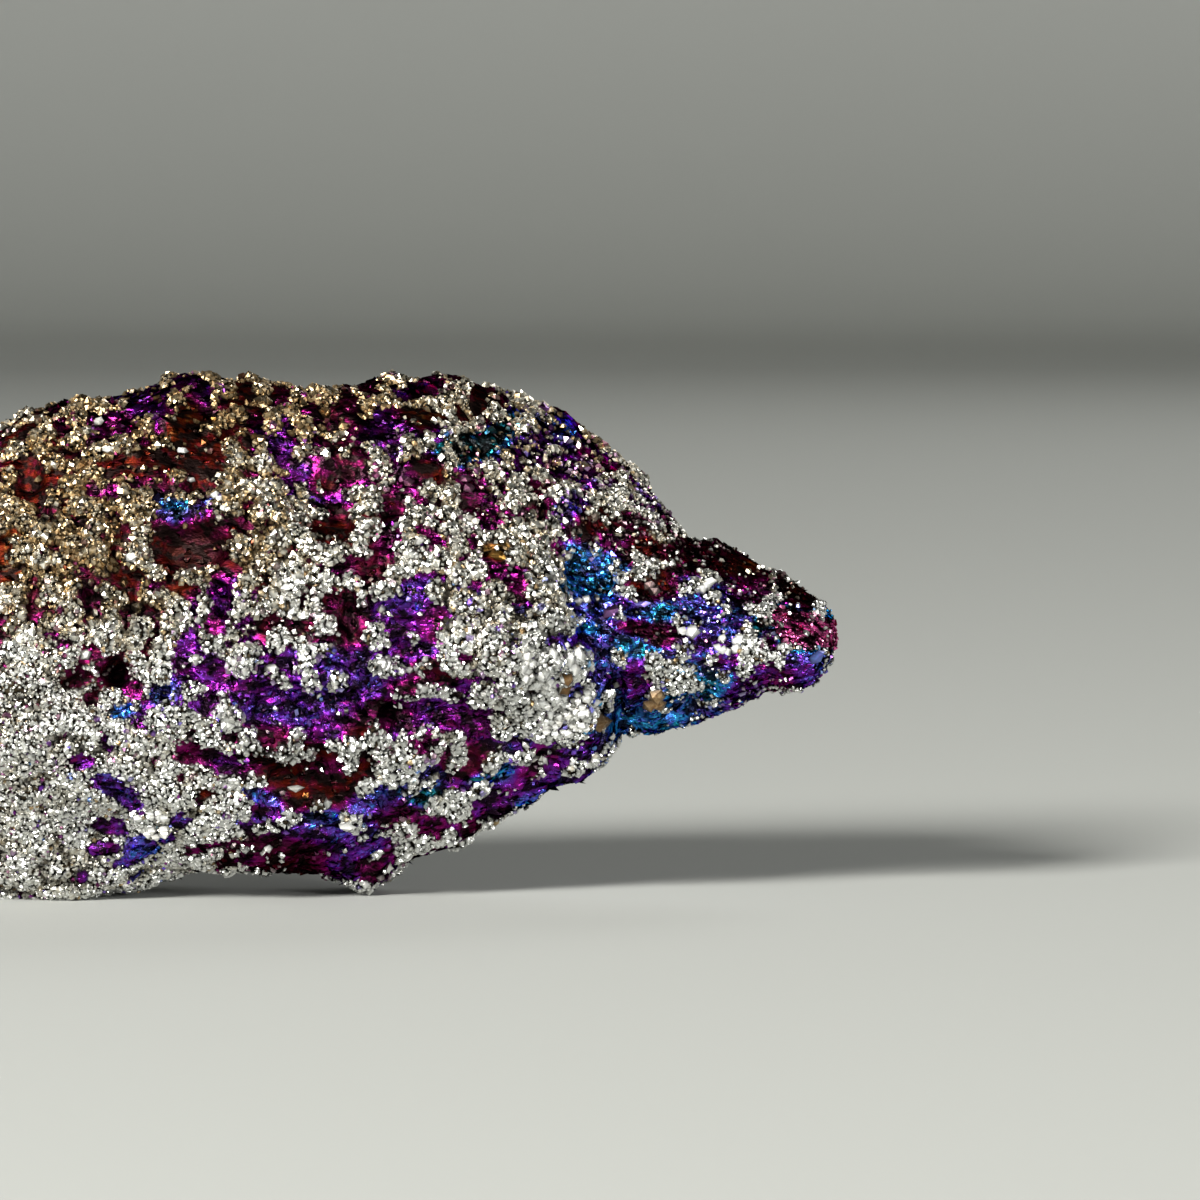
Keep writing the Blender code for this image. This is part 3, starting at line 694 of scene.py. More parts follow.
# %% The bare ore's points
POINTS_ALONG, POINTS_ROUND = 286, 300
CROWDING = 0.30
TIP_ROOM = 0.33 * MM
BARE_DROP = 0.34 * MM
CLUMP_HEIGHT, BROKEN_HEIGHT, LAYER_HEIGHT = 0.45, 0.20, 0.12  # in millimetres
BROKEN_SIZE, LAYER_SIZE, SHARP_CREASE = 0.90 * MM, 0.48 * MM, 16
THIN_FROM = (14.5 * MM, 18.0 * MM)  # the point's start along the stone
KNOB_LIFT = 0.5  # how much a listed knob raises the clumps


def velvet(film):
    """1 for the gold to dark red films, which lie smooth on the ore, and 0 for the others."""
    return 1 - ease(0.20, 0.36, film)


def fine_height(places, mounds, bare, film):
    """Height over the broad relief: the clumps under the crust, flat faces and layers where it is
    bare, all lower on the point. A bare place is sunk less on the point and at the outline, which
    keep the solid's size. Also gives how deep a place lies in the small relief, from 0 for the tops
    to 1."""
    thin = ease(*THIN_FROM, places[:, 0])
    calm = 1 - 0.35 * thin
    layered = places * np.array([0.45, 1.0, 1.6])
    broken = BROKEN_HEIGHT * facets(places, BROKEN_SIZE, seed=34, crease=SHARP_CREASE)
    broken += LAYER_HEIGHT * facets(layered, LAYER_SIZE, seed=35, crease=SHARP_CREASE)
    small = (1 - bare) * CLUMP_HEIGHT * mounds + bare * broken * (1 - 0.6 * velvet(film))
    facing = ease(0.40, 0.80, np.abs(outward(places)[:, 1])) * ease(1.5 * MM, 4.5 * MM, places[:, 2])
    kept = 1 - 0.75 * np.maximum(thin, 1 - facing)
    sunk = (1 - bare) * TIP_ROOM * (1 - 0.6 * thin) + bare * (TIP_ROOM + BARE_DROP) * kept
    return MM * small * calm - sunk, 1 - ease(-0.22, 0.14, small)


along = np.linspace(0, 1, POINTS_ALONG + 1)[1:-1]
step_round = np.linspace(0, 2 * math.pi, POINTS_ROUND, endpoint=False)
turn = step_round + CROWDING * np.cos(step_round)
grid_along = np.repeat(along, POINTS_ROUND)
grid_turn = np.tile(turn, len(along))
form = fractured(rounded_form(np.append(grid_along, [0, 1]), np.append(grid_turn, [0, 0])))
away = outward(form)
broad = form + away * broad_relief(form)[:, None]
settle = np.array([-0.5 * (broad[:, axis].min() + broad[:, axis].max()) for axis in (0, 1)] + [0])
stood = broad + settle
across, down = seen_at(stood)
mounds = clumps(stood) + KNOB_LIFT * (1 - ease(0.3, 1.2, knob_reach(stood, across, down)))
lift = np.full(len(stood), -TIP_ROOM - 0.5 * BARE_DROP)
for _ in range(2):  # the second time, the patches are placed on the surface as it has sunk
    bare, film = bare_and_film(stood + away * lift[:, None], mounds)
    lift, deep = fine_height(broad, mounds, bare, film)
pits = pit_depth(stood + away * lift[:, None])
# Pits count as deep, so the finishes paint shade into them.
deep = np.maximum(deep, ease(0.2, 0.6, pits / MM))
lift -= pits
ore_points = stood + away * lift[:, None]
ore_points[:, 2] = np.maximum(ore_points[:, 2], 0)
solid_low, solid_high = (np.array(corner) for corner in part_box(STONE_NODE))
print("bare share of the points:", round(float(bare.mean()), 2))
print("ore from", ore_points.min(axis=0) / MM, "to", ore_points.max(axis=0) / MM, "mm")
print("solid from", solid_low / MM, "to", solid_high / MM, "mm")


# %% Making a mesh from arrays
def mesh_piece(name, points, faces, corner_uv, fields, smooth=False):
    """A mesh object from arrays: points, flat or smooth triangles, one UV place for each corner of
    each triangle, and a number for each point under each field's name."""
    mesh = bpy.data.meshes.new(name)
    mesh.vertices.add(len(points))
    mesh.vertices.foreach_set("co", np.ascontiguousarray(points, np.float32).ravel())
    mesh.loops.add(faces.size)
    mesh.loops.foreach_set("vertex_index", np.ascontiguousarray(faces, np.int32).ravel())
    mesh.polygons.add(len(faces))
    mesh.polygons.foreach_set("loop_start", np.arange(0, faces.size, 3, dtype=np.int32))
    mesh.update(calc_edges=True)
    if not smooth:
        mesh.shade_flat()
    uv_map = mesh.uv_layers.new(name="OFBake")
    uv_map.uv.foreach_set("vector", np.ascontiguousarray(corner_uv, np.float32).ravel())
    for field, values in fields.items():
        layer = mesh.attributes.new(field, "FLOAT", "POINT")
        layer.data.foreach_set("value", np.ascontiguousarray(values, np.float32))
    piece = bpy.data.objects.new(name, mesh)
    bpy.context.scene.collection.objects.link(piece)
    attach(piece, "root")
    print(name, "has", len(faces), "triangles")
    return piece


def grid_faces(rows, columns):
    """Triangles of a grid that closes round its columns, with a fan at each end. Also gives each
    corner's UV place: the row and the column as shares of the whole."""
    row, column = np.divmod(np.arange((rows - 1) * columns), columns)
    beside = (column + 1) % columns
    a, b = row * columns + column, row * columns + beside
    c, d = a + columns, b + columns
    around = np.arange(columns)
    after = (around + 1) % columns
    last = (rows - 1) * columns
    first_pole, last_pole = rows * columns, rows * columns + 1
    faces = np.concatenate([
        np.stack([a, b, d], 1), np.stack([a, d, c], 1),
        np.stack([after, around, np.full(columns, first_pole)], 1),
        np.stack([last + around, last + after, np.full(columns, last_pole)], 1),
    ])
    u, v, v_next = (row + 1) / (rows + 1), column / columns, (column + 1) / columns
    u_next = (row + 2) / (rows + 1)
    w, w_next = around / columns, (around + 1) / columns
    near, far = np.full(columns, 1 / (rows + 1)), np.full(columns, rows / (rows + 1))
    end, start = np.ones(columns), np.zeros(columns)
    middle = (w + w_next) / 2
    corner_uv = np.concatenate([
        np.stack([u, v, u, v_next, u_next, v_next], 1), np.stack([u, v, u_next, v_next, u_next, v], 1),
        np.stack([near, w_next, near, w, start, middle], 1),
        np.stack([far, w, far, w_next, end, middle], 1),
    ])
    return faces, corner_uv.reshape(-1, 3, 2)


ore_faces, ore_uv = grid_faces(len(along), POINTS_ROUND)
ore_fields = {"film": film, "bare": bare, "deep": deep}
bare_ore = mesh_piece("bare_ore", ore_points, ore_faces, ore_uv, ore_fields, smooth=True)
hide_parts(STONE_NODE)

# %% [markdown]
# ## Places for the grains
# Grains settle where there is crust. A particle system could scatter them, but an exported model
# keeps only real meshes. So random points are drawn on the fine surface, each triangle with a
# chance in proportion to its area, and a grid of cubes thins them: of the points that fall in one
# cube only one stays. That spaces them evenly without lining them up.

# %% Scattering on the surface
FINE_FROM = 620  # the point's start in the picture
chance = np.random.default_rng(40)
corners = ore_points[ore_faces]
face_cross = np.cross(corners[:, 1] - corners[:, 0], corners[:, 2] - corners[:, 0])
face_area = np.linalg.norm(face_cross, axis=1) / 2
face_normal = face_cross / np.maximum(2 * face_area, 1e-15)[:, None]
print("the surface measures", round(float(face_area.sum()) * 1e6), "square millimetres")


def fineness(points):
    """Which of three spacings a place takes: 0 where the picture shows the finest crust, at the
    lower left and on the point, 1 on the rest of the front, and 2 on the sides that it doesn't
    show."""
    across = seen_at(points)[0]
    front = pictured_share(points, across) > 0.3
    fine = (finest(points) > 0.5) | (front & (across > FINE_FROM))
    return np.where(fine, 0, np.where(front, 1, 2))


def scatter(draws, spacings):
    """Points drawn over the surface, one kept in each cube. The cubes' sizes are the spacings, by
    fineness. Gives the points, their faces, and the surface's fields at each point."""
    face = chance.choice(len(ore_faces), size=draws, p=face_area / face_area.sum())
    share = np.sort(chance.random((draws, 2)), axis=1)
    weight = np.stack([share[:, 0], share[:, 1] - share[:, 0], 1 - share[:, 1]], axis=1)
    points = (corners[face] * weight[:, :, None]).sum(axis=1)
    level = fineness(points)
    cube = np.floor(points / np.array(spacings)[level][:, None]).astype(np.int64) + 4096
    key = (level << 60) + (cube[:, 0] << 40) + (cube[:, 1] << 20) + cube[:, 2]
    kept = chance.permutation(np.unique(key, return_index=True)[1])
    face, points, weight = face[kept], points[kept], weight[kept]
    at = ore_faces[face]
    here = {name: (values[at] * weight).sum(axis=1) for name, values in ore_fields.items()}
    return points, face, here


def picked(chosen, points, face, here):
    """The chosen ones of the scattered points."""
    return points[chosen], face[chosen], {name: values[chosen] for name, values in here.items()}


def varied_sizes(count, spread, least, most):
    """Sizes around 1: e to the power of a random number of that spread, cut off at both ends."""
    return np.exp(np.clip(chance.normal(0, spread, count), least, most))


# %% [markdown]
# ## The crust's grains
# Under a lens the crust is a heap of tiny crystals with worn corners, a quarter of a millimetre
# across. Thousands of them fit in one mesh if each is a simple body with a few flat faces. A gem
# with a belt of five corners and a small table on top gives a rounded grain, and a block with its
# corners moved at random gives a sharp one. Every grain gets its own turn, stretch, tone and
# stain, all worked out as arrays.

# %% Bodies of grains
def ring(count, radius, height, first_angle):
    """That many points on a level circle, the first at that angle in degrees."""
    angle = np.radians(first_angle + np.arange(count) * 360 / count)
    return np.stack([radius * np.cos(angle), radius * np.sin(angle), np.full(count, height)], axis=1)


# A gem has a buried point, a belt of five corners and a small three-cornered table on top
GEM_POINTS = np.vstack([[(0, 0, -1)], ring(5, 1.0, -0.05, 0), ring(3, 0.60, 0.66, 36)])
GEM_FACES = np.array([
    (2, 1, 0), (3, 2, 0), (4, 3, 0), (5, 4, 0), (1, 5, 0),
    (1, 2, 6), (2, 7, 6), (2, 3, 7), (3, 4, 7), (4, 8, 7), (4, 5, 8), (5, 1, 8), (1, 6, 8),
    (6, 7, 8),
])
BLOCK_POINTS = np.array([(x, y, z) for z in (-1, 1) for y in (-1, 1) for x in (-1, 1)]) * 0.62
BLOCK_FACES = np.array([
    (0, 2, 3), (0, 3, 1), (4, 5, 7), (4, 7, 6), (0, 1, 5), (0, 5, 4),
    (2, 6, 7), (2, 7, 3), (0, 4, 6), (0, 6, 2), (1, 3, 7), (1, 7, 5),
])
# A flake is a low pyramid: four corners and a tip
FLAKE_POINTS = np.vstack([ring(4, 1.0, -0.25, 0), [(0.15, 0.1, 0.75)]])
FLAKE_FACES = np.array([(0, 1, 4), (1, 2, 4), (2, 3, 4), (3, 0, 4), (0, 3, 2), (0, 2, 1)])
LINE_SCATTER = 0.45
print("a gem has", len(GEM_FACES), "faces, a block", len(BLOCK_FACES), "and a flake", len(FLAKE_FACES))


def random_turns(count):
    """That many random rotation matrices, from random unit quaternions."""
    quaternion = chance.normal(size=(4, count))
    w, x, y, z = quaternion / np.linalg.norm(quaternion, axis=0)
    return np.array([
        [1 - 2 * (y * y + z * z), 2 * (x * y - z * w), 2 * (x * z + y * w)],
        [2 * (x * y + z * w), 1 - 2 * (x * x + z * z), 2 * (y * z - x * w)],
        [2 * (x * z - y * w), 2 * (y * z + x * w), 1 - 2 * (x * x + y * y)],
    ]).transpose(2, 0, 1)


def lying_turns(normals, tilt, line=(0, 0, 0)):
    """Rotations that lay a body's third axis along each normal, tilted at random, and its first
    axis roughly along the line, or anyhow if there is none."""
    up = normals + tilt * chance.normal(size=normals.shape)
    up /= np.linalg.norm(up, axis=1)[:, None]
    second = np.cross(up, np.array(line) + LINE_SCATTER * chance.normal(size=normals.shape))
    second /= np.linalg.norm(second, axis=1)[:, None]
    return np.stack([np.cross(second, up), second, up], axis=2)


def tile_uv(count, faces_each):
    """UV corners for bodies of that many faces: the square is cut into one cell for each body, and
    a cell into one small triangle for each of its faces."""
    side = math.ceil(math.sqrt(count))
    part_side = math.ceil(math.sqrt(faces_each))
    body, part = np.divmod(np.arange(count * faces_each), faces_each)
    corner = np.stack([body % side + (part % part_side) / part_side,
                       body // side + (part // part_side) / part_side], axis=1) / side
    triangle = np.array([(0.1, 0.1), (0.9, 0.1), (0.1, 0.9)]) / (side * part_side)
    return corner[:, None, :] + triangle


def heap(name, body_points, body_faces, centres, outwards, turns, stretch, roughen, fields):
    """One mesh of many bodies. Each is the body's points times a random roughness, stretched,
    turned and moved to its centre. Each point also carries how exposed it is: 1 on a body's outer
    side, 0 on its buried side."""
    count, points_each = len(centres), len(body_points)
    rough = 1 + roughen * chance.uniform(-1, 1, (count, points_each, 1))
    local = body_points * rough * stretch[:, None, :]
    offset = np.einsum("nij,nkj->nki", turns, local)
    reach = np.linalg.norm(offset, axis=2)
    exposed = 0.5 + 0.5 * np.einsum("nkj,nj->nk", offset, outwards) / reach
    points = (offset + centres[:, None, :]).reshape(-1, 3)
    points[:, 2] = np.maximum(points[:, 2], 0)
    faces = body_faces + points_each * np.arange(count)[:, None, None]
    each_field = {field: np.repeat(values, points_each) for field, values in fields.items()}
    each_field["exposed"] = exposed.ravel()
    return mesh_piece(name, points, faces.reshape(-1, 3), tile_uv(count, len(body_faces)), each_field)


# %% Tone and stain of the grains
# Places in the picture, as pixels of the middle, half width and half height
BROWN_SIDE, BROWN_CREST = (90, 540, 190, 110), (215, 398, 200, 55)
PALE_BANK, SPECKLED_SHOULDER = (560, 690, 60, 65), (585, 480, 105, 75)
UPPER_TONE, LOWER_RISE = 0.42, 0.46
TONE_LIFT, SHADE_TONE_IN_DEPTHS, LUMP_TONE = 0.20, 0.42, 0.30
GRAIN_TONE_SCATTER, GRAIN_FILM_SCATTER = 0.08, 0.07
STAINED, STAINED_AT_HOLLOWS = 0.05, 0.5


def grain_tone(points):
    """How pale a grain is, from 0 for brown to 1 for silver: paler downwards and on the bank beside
    the step, and browner at the crest and at the upper left."""
    across, down = seen_at(points)
    lower = ease(400, 690, down)
    side = 0.32 * within(across, down, BROWN_SIDE, 0.5, 1.4)
    crest = 0.30 * within(across, down, BROWN_CREST, 0.6, 1.3)
    bank = 0.25 * within(across, down, PALE_BANK, 0.7, 1.3)
    patchy = 0.12 * perlin(points, 2.5 * MM, seed=41)
    return UPPER_TONE + LOWER_RISE * lower - np.maximum(side, crest) + bank + patchy


def grain_fields(points, here, lump):
    """Each grain's tone, shine, depth, film and stain. A grain that lies deep gets a lower tone, as
    painted shade. Grains near a hollow are more often tarnished too, and the few large lumps are
    brown and dull."""
    count = len(points)
    # Grains that lie deep are darker and browner: painted shade.
    tone = grain_tone(points) + TONE_LIFT - SHADE_TONE_IN_DEPTHS * here["deep"]
    tone = np.clip(np.where(lump, LUMP_TONE, tone) + chance.normal(0, GRAIN_TONE_SCATTER, count), 0, 1)
    likely = STAINED + STAINED_AT_HOLLOWS * ease(0.02, 0.6, here["bare"])
    return {
        "tone": tone,
        "shine": np.where(lump, 0.0, chance.random(count)) * ease(0.1, 0.5, tone),
        "deep": here["deep"],
        "film": np.maximum(here["film"] + chance.normal(0, GRAIN_FILM_SCATTER, count), 0),
        "stain": np.where(chance.random(count) < likely, chance.uniform(0.55, 1.0, count), 0.0),
    }


# %% The crust
GRAIN_SPACINGS = (0.155 * MM, 0.186 * MM, 0.272 * MM)
GRAIN_RADII = (0.112 * MM, 0.142 * MM, 0.200 * MM)
LUMP_SHARE, LUMP_GROWTH = 0.028, 1.45  # the share where the grains are brown
GEM_TILT, GEM_ROUGHNESS, BLOCK_ROUGHNESS = 0.45, 0.16, 0.28
LARGEST_BLOCK = 1.2  # larger grains are all gems
RAISED, RAISED_MORE = 0.22, 0.06 * MM  # as a share of the grain's size, and at random
CLOSED = 0.15  # grains settle where the ore is less bare than this
CLEAR_OF_FLOOR = 0.02 * MM
GRAIN_DRAWS, FLAKE_DRAWS = 900000, 500000
MOST_IN_A_PIECE = 198000  # triangles


def speckled(points):
    """Chance of a lone grain on the tarnish: one in five on the shoulder above the step, one in
    twenty on the point, and one in eighty elsewhere."""
    across, down = seen_at(points)
    shoulder = within(across, down, SPECKLED_SHOULDER, 0.8, 1.2)
    point = ease(640, 680, across)
    return 0.012 + (0.20 * shoulder + 0.04 * point) * pictured_share(points, across)


points, face, here = scatter(GRAIN_DRAWS, GRAIN_SPACINGS)
settled = (here["bare"] < CLOSED) | (chance.random(len(points)) < speckled(points))
settled &= points[:, 2] > CLEAR_OF_FLOOR
points, face, here = picked(settled, points, face, here)
print(len(points), "grains")
lump = chance.random(len(points)) < LUMP_SHARE * (1 - 0.8 * ease(0.25, 0.65, grain_tone(points)))
varied = varied_sizes(len(points), 0.32, -0.50, 0.60)
size = np.array(GRAIN_RADII)[fineness(points)] * np.where(lump, LUMP_GROWTH, varied)
grain_normal = face_normal[face]
centres = points + grain_normal * (RAISED * size + RAISED_MORE * chance.random(len(points)))[:, None]
fields = grain_fields(points, here, lump)
stretch = size[:, None] * chance.uniform(0.75, 1.25, (len(points), 3))


def crust_piece(name, part, body_points, body_faces, turns, roughen):
    """The grains of that part as one heap of that body."""
    of_part = {field: values[part] for field, values in fields.items()}
    return heap(name, body_points, body_faces, centres[part], grain_normal[part], turns, stretch[part],
                roughen, of_part)


crust_pieces = []
is_block = (np.arange(len(points)) % 2 == 0) & ~lump & (varied < LARGEST_BLOCK)
for kind, chosen, body_points, body_faces, roughen in (
    ("gems", np.flatnonzero(~is_block), GEM_POINTS, GEM_FACES, GEM_ROUGHNESS),
    ("blocks", np.flatnonzero(is_block), BLOCK_POINTS, BLOCK_FACES, BLOCK_ROUGHNESS),
):
    pieces = math.ceil(len(chosen) * len(body_faces) / MOST_IN_A_PIECE)
    for number, part in enumerate(np.array_split(chosen, pieces), start=1):
        turns = lying_turns(grain_normal[part], GEM_TILT) if kind == "gems" else random_turns(len(part))
        crust_pieces.append(
            crust_piece(f"crust_{kind}_{number}", part, body_points, body_faces, turns, roughen)
        )

# %% [markdown]
# ## The hollows' flakes
# In the hollows the ore ends in the low faces of many small crystals, each tilted a little, so that
# one flashes pink while its neighbour stays dark. A bump in the finish would flash as well, but it
# would leave the surface smooth where it is seen from the side. So each of these crystals is a
# flake: a low pyramid of four faces, which lies along the surface with some random tilt.

# %% The flakes
FLAKE_SPACINGS = (0.20 * MM, 0.23 * MM, 0.34 * MM)
FLAKE_RADII = (0.165 * MM, 0.22 * MM, 0.26 * MM)
FLAKE_SHAPE = np.array([1.25, 0.85, 0.34])
FLAKE_TILT, FLAKE_ROUGHNESS = 0.26, 0.12
FLAKE_LINE = np.array([1.0, 0.0, 0.15])  # the flakes' long sides lie roughly this way
FLAKE_BARE = 0.6  # flakes settle where the ore is barer than this
LYING = 0.6  # least cosine between the ore's face under a flake and the way out of the stone
FLAKE_FILM_SCATTER = 0.045


def crystalline(points, film):
    """1 where the ore ends in crystals all over: under the violet to blue films, and on the point."""
    across = seen_at(points)[0]
    return np.maximum(ease(0.48, 0.66, film), ease(600, 660, across) * pictured_share(points, across))


points, face, here = scatter(FLAKE_DRAWS, FLAKE_SPACINGS)
chosen = (here["bare"] > FLAKE_BARE) & (points[:, 2] > CLEAR_OF_FLOOR)
share = 0.25 - 0.15 * velvet(here["film"]) + 0.75 * crystalline(points, here["film"])
chosen &= chance.random(len(points)) < share
chosen &= (face_normal[face] * outward(points)).sum(axis=1) > LYING  # others would stand up as spikes
points, face, here = picked(chosen, points, face, here)
size = np.array(FLAKE_RADII)[fineness(points)] * varied_sizes(len(points), 0.30, -0.5, 0.3)
flake_stretch = size[:, None] * FLAKE_SHAPE * chance.uniform(0.8, 1.2, (len(points), 3))
flakes = heap(
    "tarnished_flakes", FLAKE_POINTS, FLAKE_FACES, points, face_normal[face],
    lying_turns(face_normal[face], FLAKE_TILT, FLAKE_LINE), flake_stretch, FLAKE_ROUGHNESS,
    {
        "film": np.maximum(here["film"] + chance.normal(0, FLAKE_FILM_SCATTER, len(points)), 0),
        "deep": here["deep"],
    },
)
print(len(points), "flakes")

# %% [markdown]
# ## The large crystals
# A few crystals have outgrown the rest, most of them beside the step. Chance would not put them
# where the picture shows them, so they are listed in groups, and each group fills an ellipse of the
# picture. A crystal is put where the front shows nearest to its pixel, and its lower part is sunk
# in the crust.

# %% The large crystals
NO_FILM = -1.0
# Each group: pixels from the left and the top, half width, half height, how many, tone, and film
# where the crystals are tarnished
PALE_GROUPS = [
    (579, 655, 8, 10, 1, 1.0), (575, 669, 9, 8, 1, 1.0), (571, 660, 6, 11, 1, 1.0),
    (562, 650, 9, 5, 4, 1.0), (548, 672, 4, 9, 1, 1.0), (561, 684, 3, 12, 1, 0.75),
    (571, 684, 9, 7, 2, 0.0), (566, 706, 30, 30, 60, 1.0), (540, 668, 24, 20, 26, 1.0),
    (597, 722, 15, 12, 1, 0.0), (590, 767, 13, 6, 1, 1.0), (573, 764, 5, 5, 1, 0.60),
    (598, 754, 5, 5, 2, 0.70), (582, 604, 6, 5, 2, 0.95), (662, 700, 12, 9, 3, 0.12),
    (154, 822, 16, 14, 13, 1.0), (345, 825, 9, 7, 1, 1.0), (82, 653, 6, 6, 2, 0.95),
    (107, 452, 9, 7, 1, 1.0), (98, 423, 6, 6, 2, 0.85), (133, 560, 6, 6, 2, 0.95),
    (182, 453, 7, 6, 1, 1.0), (190, 485, 5, 4, 1, 1.0), (219, 503, 8, 8, 5, 1.0),
    (236, 663, 8, 5, 1, 1.0), (270, 667, 9, 5, 1, 1.0), (296, 786, 9, 5, 1, 0.8),
    (268, 848, 6, 8, 1, 1.0), (384, 665, 9, 6, 2, 1.0), (410, 668, 6, 4, 1, 1.0),
    (730, 645, 12, 10, 9, 0.95), (704, 586, 8, 7, 3, 1.0), (685, 627, 8, 7, 2, 1.0),
]
TARNISHED_GROUPS = [
    (611, 612, 12, 8, 1, 0.9, PURPLE), (638, 604, 13, 4, 1, 0.9, INDIGO), (653, 589, 8, 6, 2, 0.9, RED),
    (816, 656, 10, 7, 1, 0.9, INDIGO), (347, 575, 8, 6, 1, 0.9, MAGENTA),
    (408, 481, 7, 6, 2, 0.9, MAGENTA), (474, 482, 9, 8, 3, 0.9, MAGENTA),
]
SHARED_GROWTH = 1.4  # a group's crystals overlap by so much
CRYSTAL_THICKNESS, CRYSTAL_TILT, CRYSTAL_ROUGHNESS = 0.8, 0.15, 0.22
CRYSTAL_LINE = np.array([3.0, 0.0, 0.0])
FRONTWARD = -0.15  # how far, at least, the way out of the stone leans to the front


def front_places(left, top):
    """The points of the front, and their outward directions, that show nearest to those pixels."""
    front = np.flatnonzero(away[:, 1] < FRONTWARD)
    across, down = seen_at(ore_points[front])
    distance = (across[None, :] - left[:, None]) ** 2 + (down[None, :] - top[:, None]) ** 2
    nearest = front[np.argmin(distance, axis=1)]
    return ore_points[nearest], away[nearest]


group = np.array([(*pale, NO_FILM) for pale in PALE_GROUPS] + TARNISHED_GROUPS)
crystal = np.repeat(group, group[:, 4].astype(int), axis=0)
left, top, group_width, group_height, members, tone, crystal_film = crystal.T
alone = members == 1
angle, spread = chance.uniform(0, 2 * math.pi, len(crystal)), np.sqrt(chance.random(len(crystal)))
spread[alone] = 0
points, crystal_normal = front_places(
    left + spread * group_width * np.cos(angle), top + spread * group_height * np.sin(angle)
)
shared = SHARED_GROWTH * np.sqrt(group_width * group_height / members)
half_width, half_height = np.where(alone, group_width, shared), np.where(alone, group_height, shared)
thickness = CRYSTAL_THICKNESS * np.minimum(half_width, half_height)
raised = 0.5 * PIXEL * thickness[:, None] * crystal_normal
crystals = heap(
    "large_crystals", GEM_POINTS, GEM_FACES, points + raised, crystal_normal,
    lying_turns(crystal_normal, CRYSTAL_TILT, CRYSTAL_LINE),
    PIXEL * np.stack([half_width, half_height, thickness], axis=1), CRYSTAL_ROUGHNESS,
    {
        "tone": np.clip(tone + chance.normal(0, 0.06, len(crystal)), 0, 1),
        "shine": 0.5 * chance.random(len(crystal)),
        "deep": np.zeros(len(crystal)),
        "film": np.clip(crystal_film + chance.normal(0, 0.04, len(crystal)), 0, 1),
        "stain": np.where(crystal_film == NO_FILM, 0.0, 0.85),
    },
)
print(len(crystal), "large crystals")

# %% [markdown]
# ## The finish: metal and film
# The stone's finishes are metal, so their colour is the colour of the reflection itself. Blender's
# shader can work out a thin film by itself, but then its colours can't be matched to the picture
# one by one. So the tarnish is a colour ramp that runs through the interference colours in the
# order in which a thickening film shows them. Two noises nudge the thickness, so that the colour
# drifts inside each patch.
#
# The grains run from brown to silver by their tone, and take the film's colour where they are
# stained. The large pale crystals are only half metal, which keeps their shaded sides pale. What
# lies deep or under a grain's own bulge is blackened, as painted shade.

# %% Building blocks of the finish
FILM_COLOURS = [
    (GOLD, (0.34, 0.19, 0.05)), (RUST, (0.11, 0.014, 0.002)), (RED, (0.07, 0.004, 0.003)),
    (CRIMSON, (0.085, 0.004, 0.025)), (MAGENTA, (0.30, 0.013, 0.17)), (PURPLE, (0.20, 0.012, 0.28)),
    (VIOLET, (0.20, 0.045, 0.55)), (INDIGO, (0.17, 0.15, 0.85)), (BLUE, (0.05, 0.30, 0.95)),
    (CYAN, (0.06, 0.52, 1.0)), (TEAL, (0.01, 0.30, 0.34)), (DARK_TEAL, (0.025, 0.07, 0.08)),
    (SLATE, (0.04, 0.055, 0.06)), (GREY, (0.04, 0.04, 0.05)), (PINK, (1.0, 0.20, 0.52)),
]
TONE_COLOURS = [
    (0.0, (0.19, 0.10, 0.035)), (0.35, (0.50, 0.37, 0.20)), (0.65, (0.78, 0.74, 0.63)),
    (1.0, (0.97, 0.975, 0.94)),
]
SHADE_AND_SPOT_BLACK = (0.007, 0.005, 0.0045)
# Under the crust the ore is painted dark brown, as the shade between the grains.
UNDER_CRUST_SHADE = [(0.3, (0.05, 0.035, 0.02)), (0.7, (0.17, 0.13, 0.08))]
SPECK = 0.5 * MM  # the size of the blackened spots, and of the brown ones under the crust


